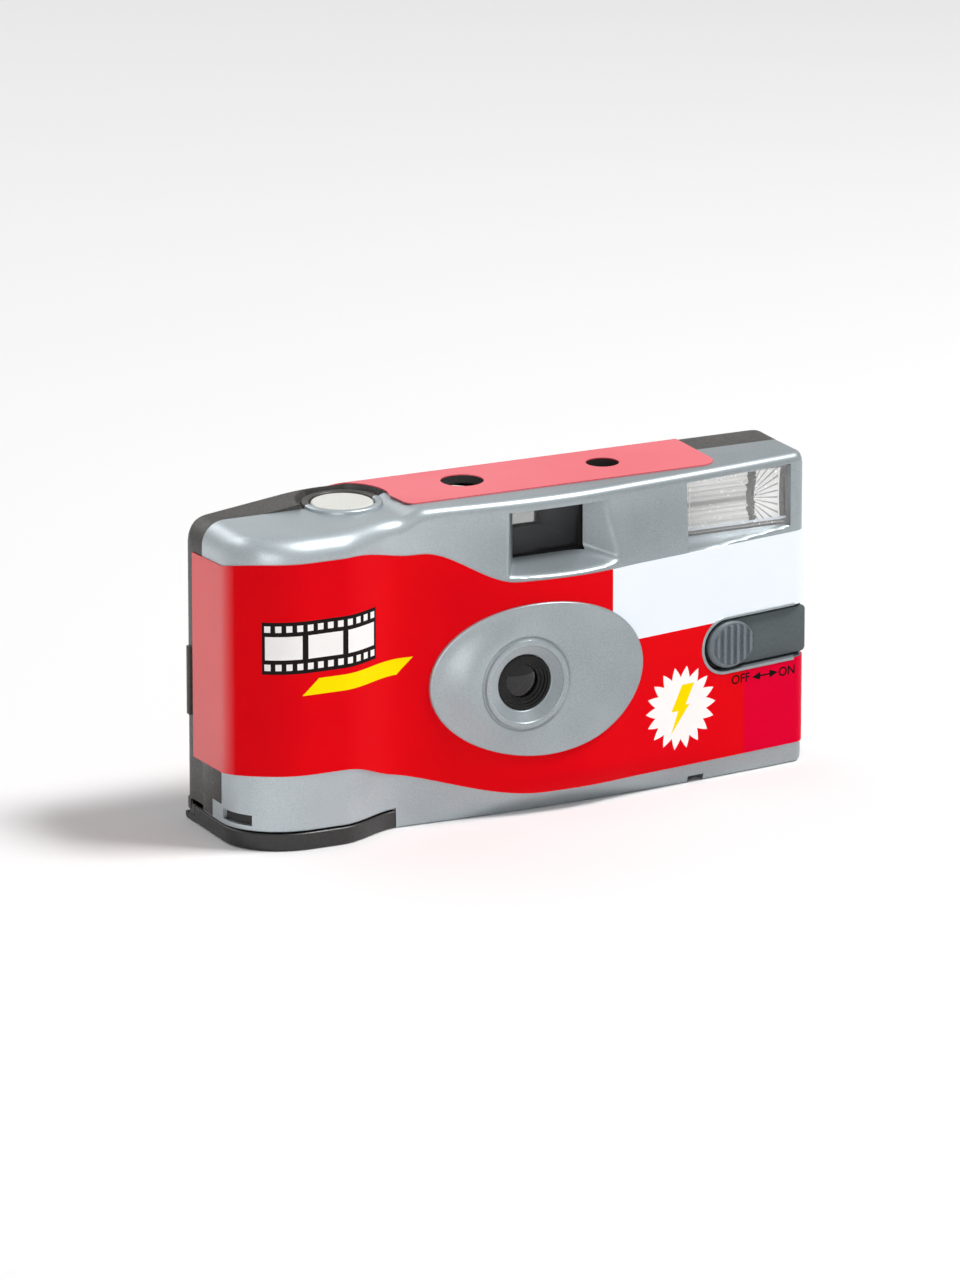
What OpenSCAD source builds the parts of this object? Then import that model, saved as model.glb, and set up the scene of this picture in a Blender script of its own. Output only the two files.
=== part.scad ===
// Disposable film camera with built-in flash.
// Origin at the middle of the footprint on the surface it stands on.
// +X to the right as seen from the front, +Y to the back, +Z up, millimetres.

/* [Casing] */
// Width of the casing from side to side
body_w = 118; // [117:0.5:124]
// Height of the casing
body_h = 59.7; // [59.2:0.1:64]
// Depth from the film bulge to the back
body_depth = 28.1; // [28:0.1:31]
// Wall thickness of both covers
wall = 1.2; // [1:0.05:1.3]
// Depth of the rear cover, from its joint with the front cover to the back
rear_depth = 8.65; // [8.2:0.05:8.8]
// How much lower the top is round the shutter button
shoulder_drop = 1.4; // [1:0.1:1.6]
// Fall of the rear cover's top towards the left end
rear_slope = 2.4; // [1:0.1:3]
// Height of the film door
door_h = 3.3; // [3:0.1:3.5]
// Distance from the film bulge to the waist beside it
bulge_rise = 4.6; // [3.8:0.1:4.8]
// How far the front swells around the lens at mid height
hump_rise = 4.15; // [3:0.05:4.3]
// Set-back of the front per millimetre of width, right of the lens
taper = 0.18; // [0.16:0.01:0.19]

/* [Labels] */
// Thickness of the printed labels
label_t = 0.2; // [0.1:0.05:0.3]
// Height of the front label's band
label_h = 39.4; // [36:0.2:40]
// Step down of the front label between the bulge and the lens
label_step = 8; // [6:0.1:8.5]

/* [Lens] */
// Lens axis to the left of the middle
lens_left = 2.9; // [2:0.1:3.5]
// Height of the lens axis and of the middle of the film
lens_z = 25.6; // [25:0.1:26]
// Outer diameter of the lens ring
ring_d = 16.9; // [15:0.1:17.5]
// Diameter of the taking lens
glass_d = 6; // [5:0.1:6.2]
// Width of the oval bezel
bezel_w = 43.7; // [40:0.1:45]
// Height of the oval bezel
bezel_h = 29.4; // [27:0.1:30]
// How far the bezel stands proud of the front
bezel_rise = 0.8; // [0.6:0.1:1.2]

/* [Film] */
// Diameter of the film cartridge
cartridge_d = 25; // [24:0.1:25.2]
// Length of the film cartridge
cartridge_h = 46; // [45:0.1:46.2]
// Width of the film
film_w = 35; // [34:0.1:35.2]
// Distance from one film perforation to the next
pitch = 4.75; // [4.6:0.01:4.8]
// Width of the picture gate
gate_w = 36; // [34:0.1:36.4]
// Height of the picture gate
gate_h = 24; // [22:0.1:24.4]
// Diameter of the roll of unexposed film
roll_d = 17.2; // [15:0.1:17.6]
// Diameter of the thumb wheel
wheel_d = 25.8; // [25:0.1:25.9]

/* [Controls] */
// Diameter of the shutter button
button_d = 11.6; // [10:0.1:12]
// Travel of the shutter button
button_travel = 1.5; // [1:0.1:1.6]
// Diameter of the frame counter's window
counter_hole_d = 8; // [7:0.1:8.4]
// Diameter of the ready lamp's window
lamp_hole_d = 6.2; // [5.6:0.1:6.6]
// Height of the flash switch's plate
switch_h = 8.6; // [7.5:0.1:9]
// Travel of the flash switch from off to on
switch_travel = 6; // [4:0.1:6.2]

/* [Finder and flash] */
// Width of the finder window
finder_w = 14.3; // [12:0.1:14.6]
// Height of the finder window
finder_h = 9.6; // [8:0.1:9.7]
// Width of the flash window
flash_w = 21.6; // [19:0.1:21.8]
// Height of the flash window
flash_h = 11; // [9:0.1:11.1]
// Diameter of the small round battery
battery_d = 10.5; // [10:0.1:10.6]
// Length of the small round battery
battery_l = 44.5; // [43:0.1:44.7]

/* [Hidden] */
$fn = 48;

// Clearances
run_gap = 0.05;
slide_gap = 0.25;
skin_gap = 0.15;
seat_gap = 0.1;
move_gap = 0.4;
past = 1;

// Casing planes
left_x = -body_w / 2;
right_x = body_w / 2;
rear_y = body_depth / 2;
bulge_y = -body_depth / 2;
joint_y = rear_y - rear_depth;
inner_rear_y = rear_y - wall;
inner_top = body_h - wall;
shoulder_z = body_h - shoulder_drop;

// Plan of the front: left corner, bulge, waist, hump and straight taper to the right end
corner_rx = 13;
corner_ry = 11;
corner_x = left_x + corner_rx;
corner_y = bulge_y + corner_ry;
crest_x = left_x + 19;
waist_x = crest_x + 14;
flat_x = -10;
flat_bow = 0.00105;
flat_y = bulge_y + bulge_rise;
hump_x = 4;
hump_blend = 20;
hump_y = flat_y - hump_rise;
end_y = flat_y + flat_bow * pow(right_x - flat_x, 2);
end_r = 2.5;
low_z = 8;
high_z = 44;
crown_z = 57;
crown_lift = 0.4;
shoulder_x = -26;
shoulder_run = 5;
left_fillet = 4.4;
right_fillet = 1.8;
fillet_run = 60;

// Places of the main groups
lens_x = -lens_left;
wheel_r = wheel_d / 2;
cart_r = cartridge_d / 2;
cart_x = left_x + wall + move_gap + wheel_r;
cart_z = lens_z - cartridge_h / 2 - 0.4;
cart_top = cart_z + cartridge_h;
deck_z = cart_top + move_gap;
deck_t = 1.4;
deck_top = deck_z + deck_t;
film_t = 0.14;
film_y = 10.5;
film_z = lens_z - film_w / 2;
chamber_gap = 0.3;
chamber_t = 0.8;
chamber_r = cart_r + chamber_gap;
frame_floor = door_h + 0.3;
gate_t = 1.5;
gate_y = film_y - 0.2 - gate_t;
gate_left = lens_x - gate_w / 2;
gate_right = lens_x + gate_w / 2;
roll_r = roll_d / 2;
roll_x = gate_right + 13.9;
roll_y = film_y - 0.1 - roll_r;
roll_room = roll_r + 0.6;
door_x = waist_x - 1.2;

// Winding and counting
teeth = 8;
pitch_r = teeth * pitch / (2 * PI);
tooth_rise = 0.75;
sprocket_x = gate_left - 3.1;
sprocket_y = film_y - pitch_r;
sprocket_z = film_z + film_w - 3.1;
sprocket_h = 2.2;
shaft_r = 1.5;
wheel_z = deck_top + move_gap;
wheel_h = 4.2;
wheel_ribs = 56;
dial_x = -11.7;
dial_y = 2.4;
dial_r = 8.4;
dial_teeth = 30;
dial_t = 0.8;
dial_depth = 1.8;
dial_z = body_h - dial_depth - dial_t;
count_z = deck_top + 2.4;
count_t = 1;

// Shutter and release
board_t = 1.2;
board_y = -7.6;
board_left = lens_x - 10;
board_right = lens_x + 10;
board_low = lens_z - 10.6;
board_high = lens_z + 12.4;
blade_gap = 0.5;
blade_t = 0.4;
blade_y = board_y - blade_gap - blade_t;
cover_t = 0.8;
cover_y = blade_y - blade_gap - cover_t;
pivot_x = lens_x - 6.1;
pivot_z = lens_z + 7.4;
pivot_r = 0.8;
stop_r = 1.5;
blade_r = 2.6;
tab_top = 40.8;
finger_w = 1;
finger_low = tab_top - 1.2;
finger_x = pivot_x - 1.5;
lever_x = finger_x - 1.7;
lever_y = -3;
lever_z = deck_z - 3.4;
lever_t = 1.4;
button_x = -31;
button_y = joint_y;
button_r = button_d / 2;
button_rim = 1.0;
button_flange = button_r + 1.0;
flange_t = 0.6;
flange_z = shoulder_z - wall - seat_gap - flange_t;
button_top = shoulder_z + 0.55;
ring_rise = 0.8;
ring_t = 1.7;
stem_x = button_x + 1.5;
stem_y = button_y - 5.6;
stem_r = 1;
rocker_x = -24.5;
rocker_z = deck_top + 1.8;
rocker_y = -7.6;
rocker_w = 2.2;
rocker_t = 1.2;
rocker_pin_r = 0.8;
pad_z = rocker_z + 1.6;

// Finder, flash and electrical parts
finder_x = lens_x + 7.55;
finder_z = body_h - 7.15;
finder_y = -6.95;
finder_wall = 0.5;
eyepiece_w = finder_w - 1.3;
eyepiece_h = 7.6;
eyepiece_z = body_h - 7.7;
flash_x = right_x - 14.3;
flash_z = body_h - 7.6;
flash_y = -4.2;
pane_t = 1;
tube_r = 1.5;
tube_y = 1;
bowl_t = 0.5;
bowl_back = tube_y + tube_r + 0.6;
card_y = -0.9;
card_t = 1.2;
card_left = right_x - 19.5;
card_right = right_x - 2;
card_low = 3;
card_high = flash_z - flash_h / 2 - 2.6;
switch_z = 27;
switch_s = -18.1;
switch_end = 0.65;
switch_t = 1.4;
trough_depth = 2.1;
trough_rim = 1.3;
knob_rise = 0.9;
knob_r = switch_h / 2 + 0.3;
leg_s = -14;
leg_l = 3;
leg_h = 2.4;
foot_h = 4.4;
foot_t = 0.7;
lamp_x = 21.6;
lamp_y = 4.75;
lamp_r = 2.4;
counter_x = -6.9;
counter_y = 5.05;
battery_r = battery_d / 2;
battery_x = door_x - 1;
battery_y = -2.6;
battery_z = door_h + 0.35 + battery_r;
contact_t = 0.4;
hinge_r = 0.7;
hinge_y = rear_y - 0.75;
hinge_z = 0.75;

function smooth(t) = let (c = min(max(t, 0), 1)) c * c * (3 - 2 * c);
function mix(a, b, t) = a + (b - a) * t;
function unit(v) = v / norm(v);

// Height of the swell, from none at the bottom to full at the label and less at the top
function lift(z) = z < low_z ? sin(90 * z / low_z)
    : mix(1, crown_lift, smooth((z - high_z) / (crown_z - high_z)));

// Front edge in plan at the bottom, and at the height of the label
function flat_line(x) = flat_y + flat_bow * pow(x - flat_x, 2);
function taper_line(x) = end_y - taper * (right_x - x);
function hump_line(x) = mix(mix(flat_line(x), hump_y, smooth((x - waist_x) / (hump_x - waist_x))),
    taper_line(x), smooth((x - hump_x + 2) / hump_blend));
function out_of_bulge(x) = smooth((x - crest_x) / (waist_x - crest_x));
function front_line(x, z) = mix(bulge_y, mix(flat_line(x), hump_line(x), lift(z)), out_of_bulge(x));

// Front surface moved inwards by t, with both upright corners rounded
function round_in(r, d) = r - sqrt(max(0, r * r - d * d));
function front_y(x, z, t = 0) =
    x < corner_x ? corner_y - (corner_ry - t) * sqrt(max(0, 1 - pow((corner_x - x) / (corner_rx - t), 2)))
    : front_line(x, z) + t + round_in(end_r - t, max(0, x - right_x + end_r));

// Top of the front cover moved inwards by t, with its rounded ends
function top_z(x, t = 0) = mix(shoulder_z, body_h, smooth((x - shoulder_x) / shoulder_run)) - t
    - round_in(left_fillet - t, max(0, left_x + left_fillet - x))
    - round_in(right_fillet - t, max(0, x - right_x + right_fillet));
function fillet(x, t = 0) = mix(left_fillet, right_fillet, smooth((x + fillet_run / 2) / fillet_run)) - t;

// Cross-section of the casing's front at one x, from the back of the floor round to the back of the top
wall_levels = [0.9, 2.5, 4.6, low_z];
fillet_angles = [0, 22.5, 45, 67.5, 90];
function section(x, t, back) = let (top = top_z(x, t), r = fillet(x, t), edge = top - r) concat(
    [[back, t], [front_y(x, t, t), t]],
    [for (z = wall_levels) [front_y(x, z + t, t), z + t]],
    [for (z = [high_z, mix(high_z, edge, 0.5)]) [front_y(x, z, t), z]],
    [for (a = fillet_angles) [front_y(x, edge, t) + r * (1 - cos(a)), edge + r * sin(a)]],
    [[back, top]]);

// Stations along x, closer together at the rounded ends
left_steps = 7;
front_steps = 32;
end_steps = 4;
function stations(t) = concat(
    [for (i = [0 : left_steps - 1]) corner_x - (corner_rx - t) * cos(90 * i / left_steps)],
    [for (i = [0 : front_steps]) mix(corner_x, right_x - end_r, i / front_steps)],
    [for (i = [1 : end_steps]) right_x - end_r + (end_r - t) * sin(90 * i / end_steps)]);

// Solid through a list of rings with the same number of points, closed by flat ends
module loft(rings) {
    n = len(rings[0]);
    last = len(rings) - 1;
    sides = [for (i = [0 : last - 1], j = [0 : n - 1], side = [0, 1])
        let (a = i * n + j, b = i * n + (j + 1) % n) side == 0 ? [a, b, b + n] : [a, b + n, a + n]];
    ends = [[for (j = [n - 1 : -1 : 0]) j], [for (j = [0 : n - 1]) last * n + j]];
    polyhedron([for (ring = rings, p = ring) p], concat(sides, ends), convexity = 8);
}

// Thin sheet between two grids of points, outer and inner, with the same rows
module sheet(outer, inner) {
    n = len(outer[0]);
    last = len(outer) - 1;
    skip = n * len(outer);
    quads = [for (k = [0 : last - 1], i = [0 : n - 2]) let (a = k * n + i)
        [[a, a + 1, a + n + 1, a + n], [skip + a, skip + a + n, skip + a + n + 1, skip + a + 1]]];
    low = [for (i = [0 : n - 2]) [i + 1, i, skip + i, skip + i + 1]];
    high = [for (i = [0 : n - 2]) let (a = last * n + i) [a, a + 1, skip + a + 1, skip + a]];
    left = [for (k = [0 : last - 1]) let (a = k * n) [a, a + n, skip + a + n, skip + a]];
    right = [for (k = [0 : last - 1]) let (a = k * n + n - 1) [a + n, a, skip + a, skip + a + n]];
    faces = concat([for (q = quads) q[0]], [for (q = quads) q[1]], low, high, left, right);
    polyhedron([for (grid = [outer, inner], row = grid, p = row) p],
        [for (f = faces, half = [0, 1]) half == 0 ? [f[2], f[1], f[0]] : [f[3], f[2], f[0]]], convexity = 8);
}

module front_block(t, back) {
    loft([for (x = stations(t)) [for (p = section(x, t, back)) [x, p[0], p[1]]]]);
}

// Boxes and cylinders placed by their limits
module box(low, high) {
    translate(low) cube(high - low);
}

module z_rod(x, y, z0, z1, r) {
    translate([x, y, z0]) cylinder(h = z1 - z0, r = r);
}

module y_rod(x, z, y0, y1, r) {
    translate([x, y0, z]) rotate([-90, 0, 0]) cylinder(h = y1 - y0, r = r);
}

module x_rod(y, z, x0, x1, r) {
    translate([x0, y, z]) rotate([0, 90, 0]) cylinder(h = x1 - x0, r = r);
}

// Straight-sided funnel between two upright rectangles
module funnel(front_y, front_low, front_high, back_y, back_low, back_high) {
    thin = 0.01;
    hull() {
        box([front_low[0], front_y, front_low[1]], [front_high[0], front_y + thin, front_high[1]]);
        box([back_low[0], back_y - thin, back_low[1]], [back_high[0], back_y, back_high[1]]);
    }
}

// Places a child in the frame of the straight right part of the front, x along it, y inwards
module on_taper(s = 0) {
    translate([right_x, end_y, switch_z]) rotate([0, 0, atan(taper)]) translate([s, 0, 0]) children();
}

// Upright plate with one round end at the left, in that frame
module tongue(r, s0, s1, y0, y1) {
    translate([s0, y0, 0]) rotate([-90, 0, 0]) cylinder(h = y1 - y0, r = r);
    translate([s0, y0, -r]) cube([s1 - s0, y1 - y0, 2 * r]);
}

// Oval pad that follows the front, as rings of points round its middle
bezel_x = lens_x + 2;
bezel_z = lens_z + 0.9;
bezel_points = 40;
bezel_edge = 0.35;
function oval(k, rise) = [for (i = [0 : bezel_points - 1]) let (a = -360 * i / bezel_points,
    x = bezel_x + k * bezel_w / 2 * cos(a), z = bezel_z + k * bezel_h / 2 * sin(a))
    [x, front_line(x, z) - rise, z]];
function flat_oval(k, y) = [for (p = oval(k, 0)) [p[0], y, p[2]]];

module bezel() {
    inside = 1 - 2 * bezel_edge / bezel_h;
    loft([flat_oval(1, flat_y + 2 * wall), oval(1, bezel_rise - bezel_edge), oval(inside, bezel_rise),
        oval(0.6, bezel_rise), flat_oval(0.2, ring_y + bezel_edge)]);
}

// Prism of the oval through the front, grown by a gap
module oval_cut(gap) {
    translate([bezel_x, bulge_y - past - bezel_rise, bezel_z]) rotate([-90, 0, 0])
        linear_extrude(wall + body_depth / 2)
            polygon([for (i = [0 : bezel_points - 1]) let (a = 360 * i / bezel_points)
                [(bezel_w / 2 + gap) * cos(a), (bezel_h / 2 + gap) * sin(a)]]);
}

// Front cover
lens_well = 3.1;
well_r = 5.2;
ring_r = ring_d / 2;
ring_y = hump_y - bezel_rise - 0.15;
well_y = ring_y + lens_well;
mouth_left = 5;
mouth_right = 5.7;
mouth_low = 2.9;
sill_drop = 1.9;
finder_low = [finder_x - finder_w / 2, finder_z - finder_h / 2];
finder_high = [finder_x + finder_w / 2, finder_z + finder_h / 2];
flash_low = [flash_x - flash_w / 2, flash_z - flash_h / 2];
flash_high = [flash_x + flash_w / 2, flash_z + flash_h / 2];
rim = [wall, wall];

module finder_mouth(grow) {
    funnel(bulge_y - past, finder_low - [mouth_left + grow, mouth_low + grow],
        finder_high + [mouth_right + grow, grow], finder_y, finder_low - [grow, grow], finder_high + [grow, grow]);
}

module flash_mouth(grow) {
    funnel(bulge_y, flash_low - [1.6 + grow, sill_drop * 2 + grow],
        flash_high + [0.1 + grow, grow], flash_y, flash_low - [grow, grow], flash_high + [grow, grow]);
}

module button_ring() {
    difference() {
        z_rod(button_x, button_y, shoulder_z - wall / 2, shoulder_z + ring_rise, button_r + ring_t);
        z_rod(button_x, button_y, flange_z, body_h + past, button_r + slide_gap);
    }
}

// Windows of the top and the button's bore, cut through both covers
module top_holes() {
    z_rod(counter_x, counter_y, dial_z, body_h + past, counter_hole_d / 2);
    z_rod(lamp_x, lamp_y, inner_top - past, body_h + past, lamp_hole_d / 2);
    z_rod(button_x, button_y, flange_z, body_h + past, button_r + slide_gap);
}

// Stepped edge of the left side, where the rear cover reaches forward under the label
side_low = frame_floor + 0.1;
side_mid = side_low + 3.4;
side_high = 12.4;
side_step = joint_y - 3.8;
side_front = joint_y - 7.8;
module side_tongue(gap) {
    box([left_x - past * gap, side_front - gap, side_mid - gap], [left_x + wall, joint_y + gap, side_high + gap]);
    box([left_x - past * gap, side_step - gap, side_low - gap], [left_x + wall, joint_y + gap, side_mid + gap]);
}

// Ribs on the floor that carry the battery
module battery_ribs() {
    for (x = [-14, 0, 11])
        difference() {
            box([x, battery_y - 4, wall / 2], [x + wall, battery_y + 4, battery_z - 2]);
            x_rod(battery_y, battery_z, x - past, x + wall + past, battery_r + seat_gap);
        }
}

module front_cover() {
    color("silver") {
        difference() {
            union() {
                front_block(0, joint_y);
                bezel();
                y_rod(lens_x, lens_z, ring_y, hump_y + wall, ring_r);
            }
            difference() {
                front_block(wall, joint_y + past);
                finder_mouth(wall);
                flash_mouth(wall);
                on_taper() tongue(switch_h / 2 + trough_rim + wall, switch_s, past, 0, trough_depth + wall);
                z_rod(cart_x, 0, wheel_z + wheel_h + move_gap, body_h, 3.2);
                y_rod(lens_x, lens_z, bulge_y, well_y + 0.4, well_r + wall);
                box([finder_low[0] - wall, finder_y - past, finder_low[1] - wall],
                    [finder_high[0] + wall, finder_y + wall, finder_high[1] + wall]);
                box([flash_low[0] - wall, flash_y - past, flash_low[1] - wall],
                    [flash_high[0] + wall, flash_y + pane_t, flash_high[1] + wall]);
            }
            z_rod(cart_x, 0, wheel_z - move_gap, wheel_z + wheel_h + move_gap, wheel_r + move_gap);
            finder_mouth(0);
            box([finder_low[0], finder_y - past, finder_low[1]], [finder_high[0], joint_y, finder_high[1]]);
            flash_mouth(0);
            box([flash_low[0], flash_y - past, flash_low[1]], [flash_high[0], flash_y + 3, flash_high[1]]);
            on_taper() {
                tongue(switch_h / 2 + trough_rim, switch_s, 4, -3, trough_depth);
                box([leg_s - move_gap, 0, -leg_h / 2 - slide_gap],
                    [leg_s + leg_l + switch_travel + move_gap, 6, leg_h / 2 + slide_gap]);
            }
            translate([lens_x, ring_y, lens_z]) rotate([-90, 0, 0])
                cylinder(h = lens_well, r1 = ring_r - 0.5, r2 = well_r);
            y_rod(lens_x, lens_z, ring_y, well_y + past, well_r);
            z_rod(cart_x, 0, wheel_z, wheel_z + wheel_h + move_gap + 1.8, 2 + run_gap);
            top_holes();
            side_tongue(seat_gap);
            box([left_x - past, bulge_y - past, -past], [door_x + seat_gap, joint_y + past, frame_floor]);
            box([left_x - past, corner_y - 4.6, frame_floor + 1], [left_x + 5, corner_y, frame_floor + 3]);
            box([33.2, bulge_y, -past], [36.6, flat_line(35) + 1.1, 1.3]);
        }
        intersection() {
            button_ring();
            box([left_x, bulge_y, 0], [right_x, joint_y, body_h + past]);
        }
        battery_ribs();
    }
}

// Rear cover: rounded plan met with the outline of the back
rear_r = 3;
slope_x = left_x + 23;
scoop_r = 4;
scoop_depth = 2.2;
scoop_w = 15;
scoop_z = wheel_z + wheel_h / 2;
dish_r = button_r + ring_t + 0.6;
module rear_plan(t) {
    r = rear_r - t;
    hull() {
        translate([left_x + t, joint_y - t]) square([body_w - 2 * t, 1]);
        for (x = [left_x + t + r, right_x - t - r]) translate([x, rear_y - t - r]) circle(r = r, $fn = 32);
    }
}

module rear_outline(t) {
    polygon([[left_x + t, t], [right_x - t, t], [right_x - t, body_h - right_fillet],
        [right_x - right_fillet, body_h - t], [slope_x, body_h - t],
        [left_x + left_fillet, body_h - rear_slope - t], [left_x + 1.2 + t / 2, body_h - rear_slope - 1.4 - t / 2],
        [left_x + t, body_h - rear_slope - left_fillet]]);
}

module rear_block(t, from) {
    intersection() {
        linear_extrude(body_h + past) rear_plan(t);
        translate([0, rear_y + past, 0]) rotate([90, 0, 0]) linear_extrude(body_depth) rear_outline(t);
        box([left_x, from, 0], [right_x, rear_y, body_h]);
    }
}

// Frame behind the film that keeps it flat
module film_pad() {
    pad_y = film_y + film_t + 0.25;
    for (z = [film_z + 1.4, film_z + film_w - 3.4])
        box([gate_left, pad_y, z], [gate_right + 2, inner_rear_y + wall / 2, z + 2]);
    for (i = [0 : 4])
        let (x = mix(gate_left, gate_right, i / 4))
            box([x, pad_y + 0.4, film_z + 1.4], [x + 2, inner_rear_y + wall / 2, film_z + film_w - 1.4]);
}

grip_z = 20.5;
grip_h = 13;
grip_rise = 0.6;
module rear_cover() {
    color([0.12, 0.12, 0.12]) {
        difference() {
            union() {
                difference() {
                    rear_block(0, joint_y);
                    difference() {
                        rear_block(wall, joint_y - past);
                        box([cart_x - scoop_w / 2 - wall, rear_y - scoop_depth - wall, scoop_z - scoop_r + 0.6],
                            [cart_x + scoop_w / 2 + wall, rear_y, scoop_z + scoop_r - 0.7]);
                        z_rod(button_x, button_y, shoulder_z - wall, body_h, dish_r + wall);
                        box([finder_low[0], rear_y - 2.4, eyepiece_z - eyepiece_h / 2 - wall],
                            [finder_high[0], rear_y, eyepiece_z + eyepiece_h / 2 + wall]);
                    }
                }
                film_pad();
                box([left_x - grip_rise, rear_y - 3.6, grip_z], [left_x + wall, rear_y - rear_r, grip_z + grip_h]);
                side_tongue(0);
            }
            z_rod(button_x, button_y, shoulder_z, body_h + past, dish_r);
            z_rod(cart_x, 0, wheel_z - move_gap, wheel_z + wheel_h + move_gap, wheel_r + move_gap);
            translate([0, rear_y - scoop_depth + scoop_r, 0])
                x_rod(0, scoop_z, cart_x - scoop_w / 2, cart_x + scoop_w / 2, scoop_r);
            funnel(rear_y - 2.6, [finder_x - eyepiece_w / 2, eyepiece_z - eyepiece_h / 2],
                [finder_x + eyepiece_w / 2, eyepiece_z + eyepiece_h / 2], rear_y + 0.1,
                [finder_x - eyepiece_w / 2 - 1, eyepiece_z - eyepiece_h / 2 - 1],
                [finder_x + eyepiece_w / 2 + 1, eyepiece_z + eyepiece_h / 2 + 1]);
            top_holes();
            box([left_x - past, joint_y - past, -past], [door_x + seat_gap, rear_y - wall, frame_floor]);
            box([left_x - past, joint_y - past, -past], [door_x + seat_gap, rear_y + past, hinge_z + hinge_r + 0.1]);
            x_rod(hinge_y, hinge_z, left_x - past, door_x + seat_gap, hinge_r + seat_gap);
            box([left_x - past, rear_y - 3.5, grip_z + 0.8], [left_x + 0.5, rear_y - rear_r - 0.1, grip_z + 8]);
        }
        intersection() {
            button_ring();
            box([left_x, joint_y, 0], [right_x, rear_y, body_h + past]);
        }
    }
}

// Film door: tray under the cartridge, with a round bead along its back as the hinge
door_floor = 1.3;
door_gap = 0.2;
door_back = hinge_y;
door_side = door_x - door_gap;
door_steps = 9;
function door_front(t) = concat(
    [for (i = [0 : left_steps]) let (x = corner_x - (corner_rx - t) * cos(90 * i / left_steps)) [x, front_y(x, 0, t)]],
    [for (i = [1 : door_steps]) let (x = mix(corner_x, door_side - t, i / door_steps)) [x, front_line(x, 0) + t]]);
module door_plan(t, back) {
    polygon(concat([[left_x + t, back]], door_front(t), [[door_side - t, back]]));
}

module film_door() {
    rim_back = joint_y + 4;
    color([0.1, 0.1, 0.1]) {
        difference() {
            linear_extrude(door_h) door_plan(0, rim_back);
            translate([0, 0, door_floor]) linear_extrude(door_h) door_plan(wall, rim_back + past);
        }
        box([left_x + door_gap, rim_back, 0], [door_side, door_back, door_floor]);
        x_rod(hinge_y, hinge_z, left_x + door_gap, door_side, hinge_r);
    }
}

// Main frame: film gate, light cone, both film chambers, decks and bearings
roof_z = film_z + film_w + 0.5;
roll_front = -6.5;
deck_right = dial_x + dial_r;
roof_t = 1.2;
shelf_z = finder_low[1] - finder_wall - seat_gap;
bracket_z = sprocket_z - 2.3;
bracket_t = 1.4;
hub_r = 3.6;
tower_r = lamp_r + 1;
lug_y = -5.2;
lug_t = 1.2;
trough_reach = switch_h / 2 + trough_rim + wall + slide_gap;
cone_back = [gate_w / 2 + wall, gate_h / 2 + wall];
cone_front = [6, 5];
module light_cone(grow) {
    funnel(board_y + 0.2 * grow, [lens_x - cone_front[0] - grow, lens_z - cone_front[1] - grow],
        [lens_x + cone_front[0] + grow, lens_z + cone_front[1] + grow], gate_y + gate_t - (1 - grow) * -past,
        [lens_x - gate_w / 2 - grow, lens_z - gate_h / 2 - grow],
        [lens_x + gate_w / 2 + grow, lens_z + gate_h / 2 + grow]);
}

module battery_end(x0, x1) {
    box([x0, battery_y - 4.5, frame_floor], [x1, gate_y + 0.1, frame_floor + 9]);
}

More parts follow.
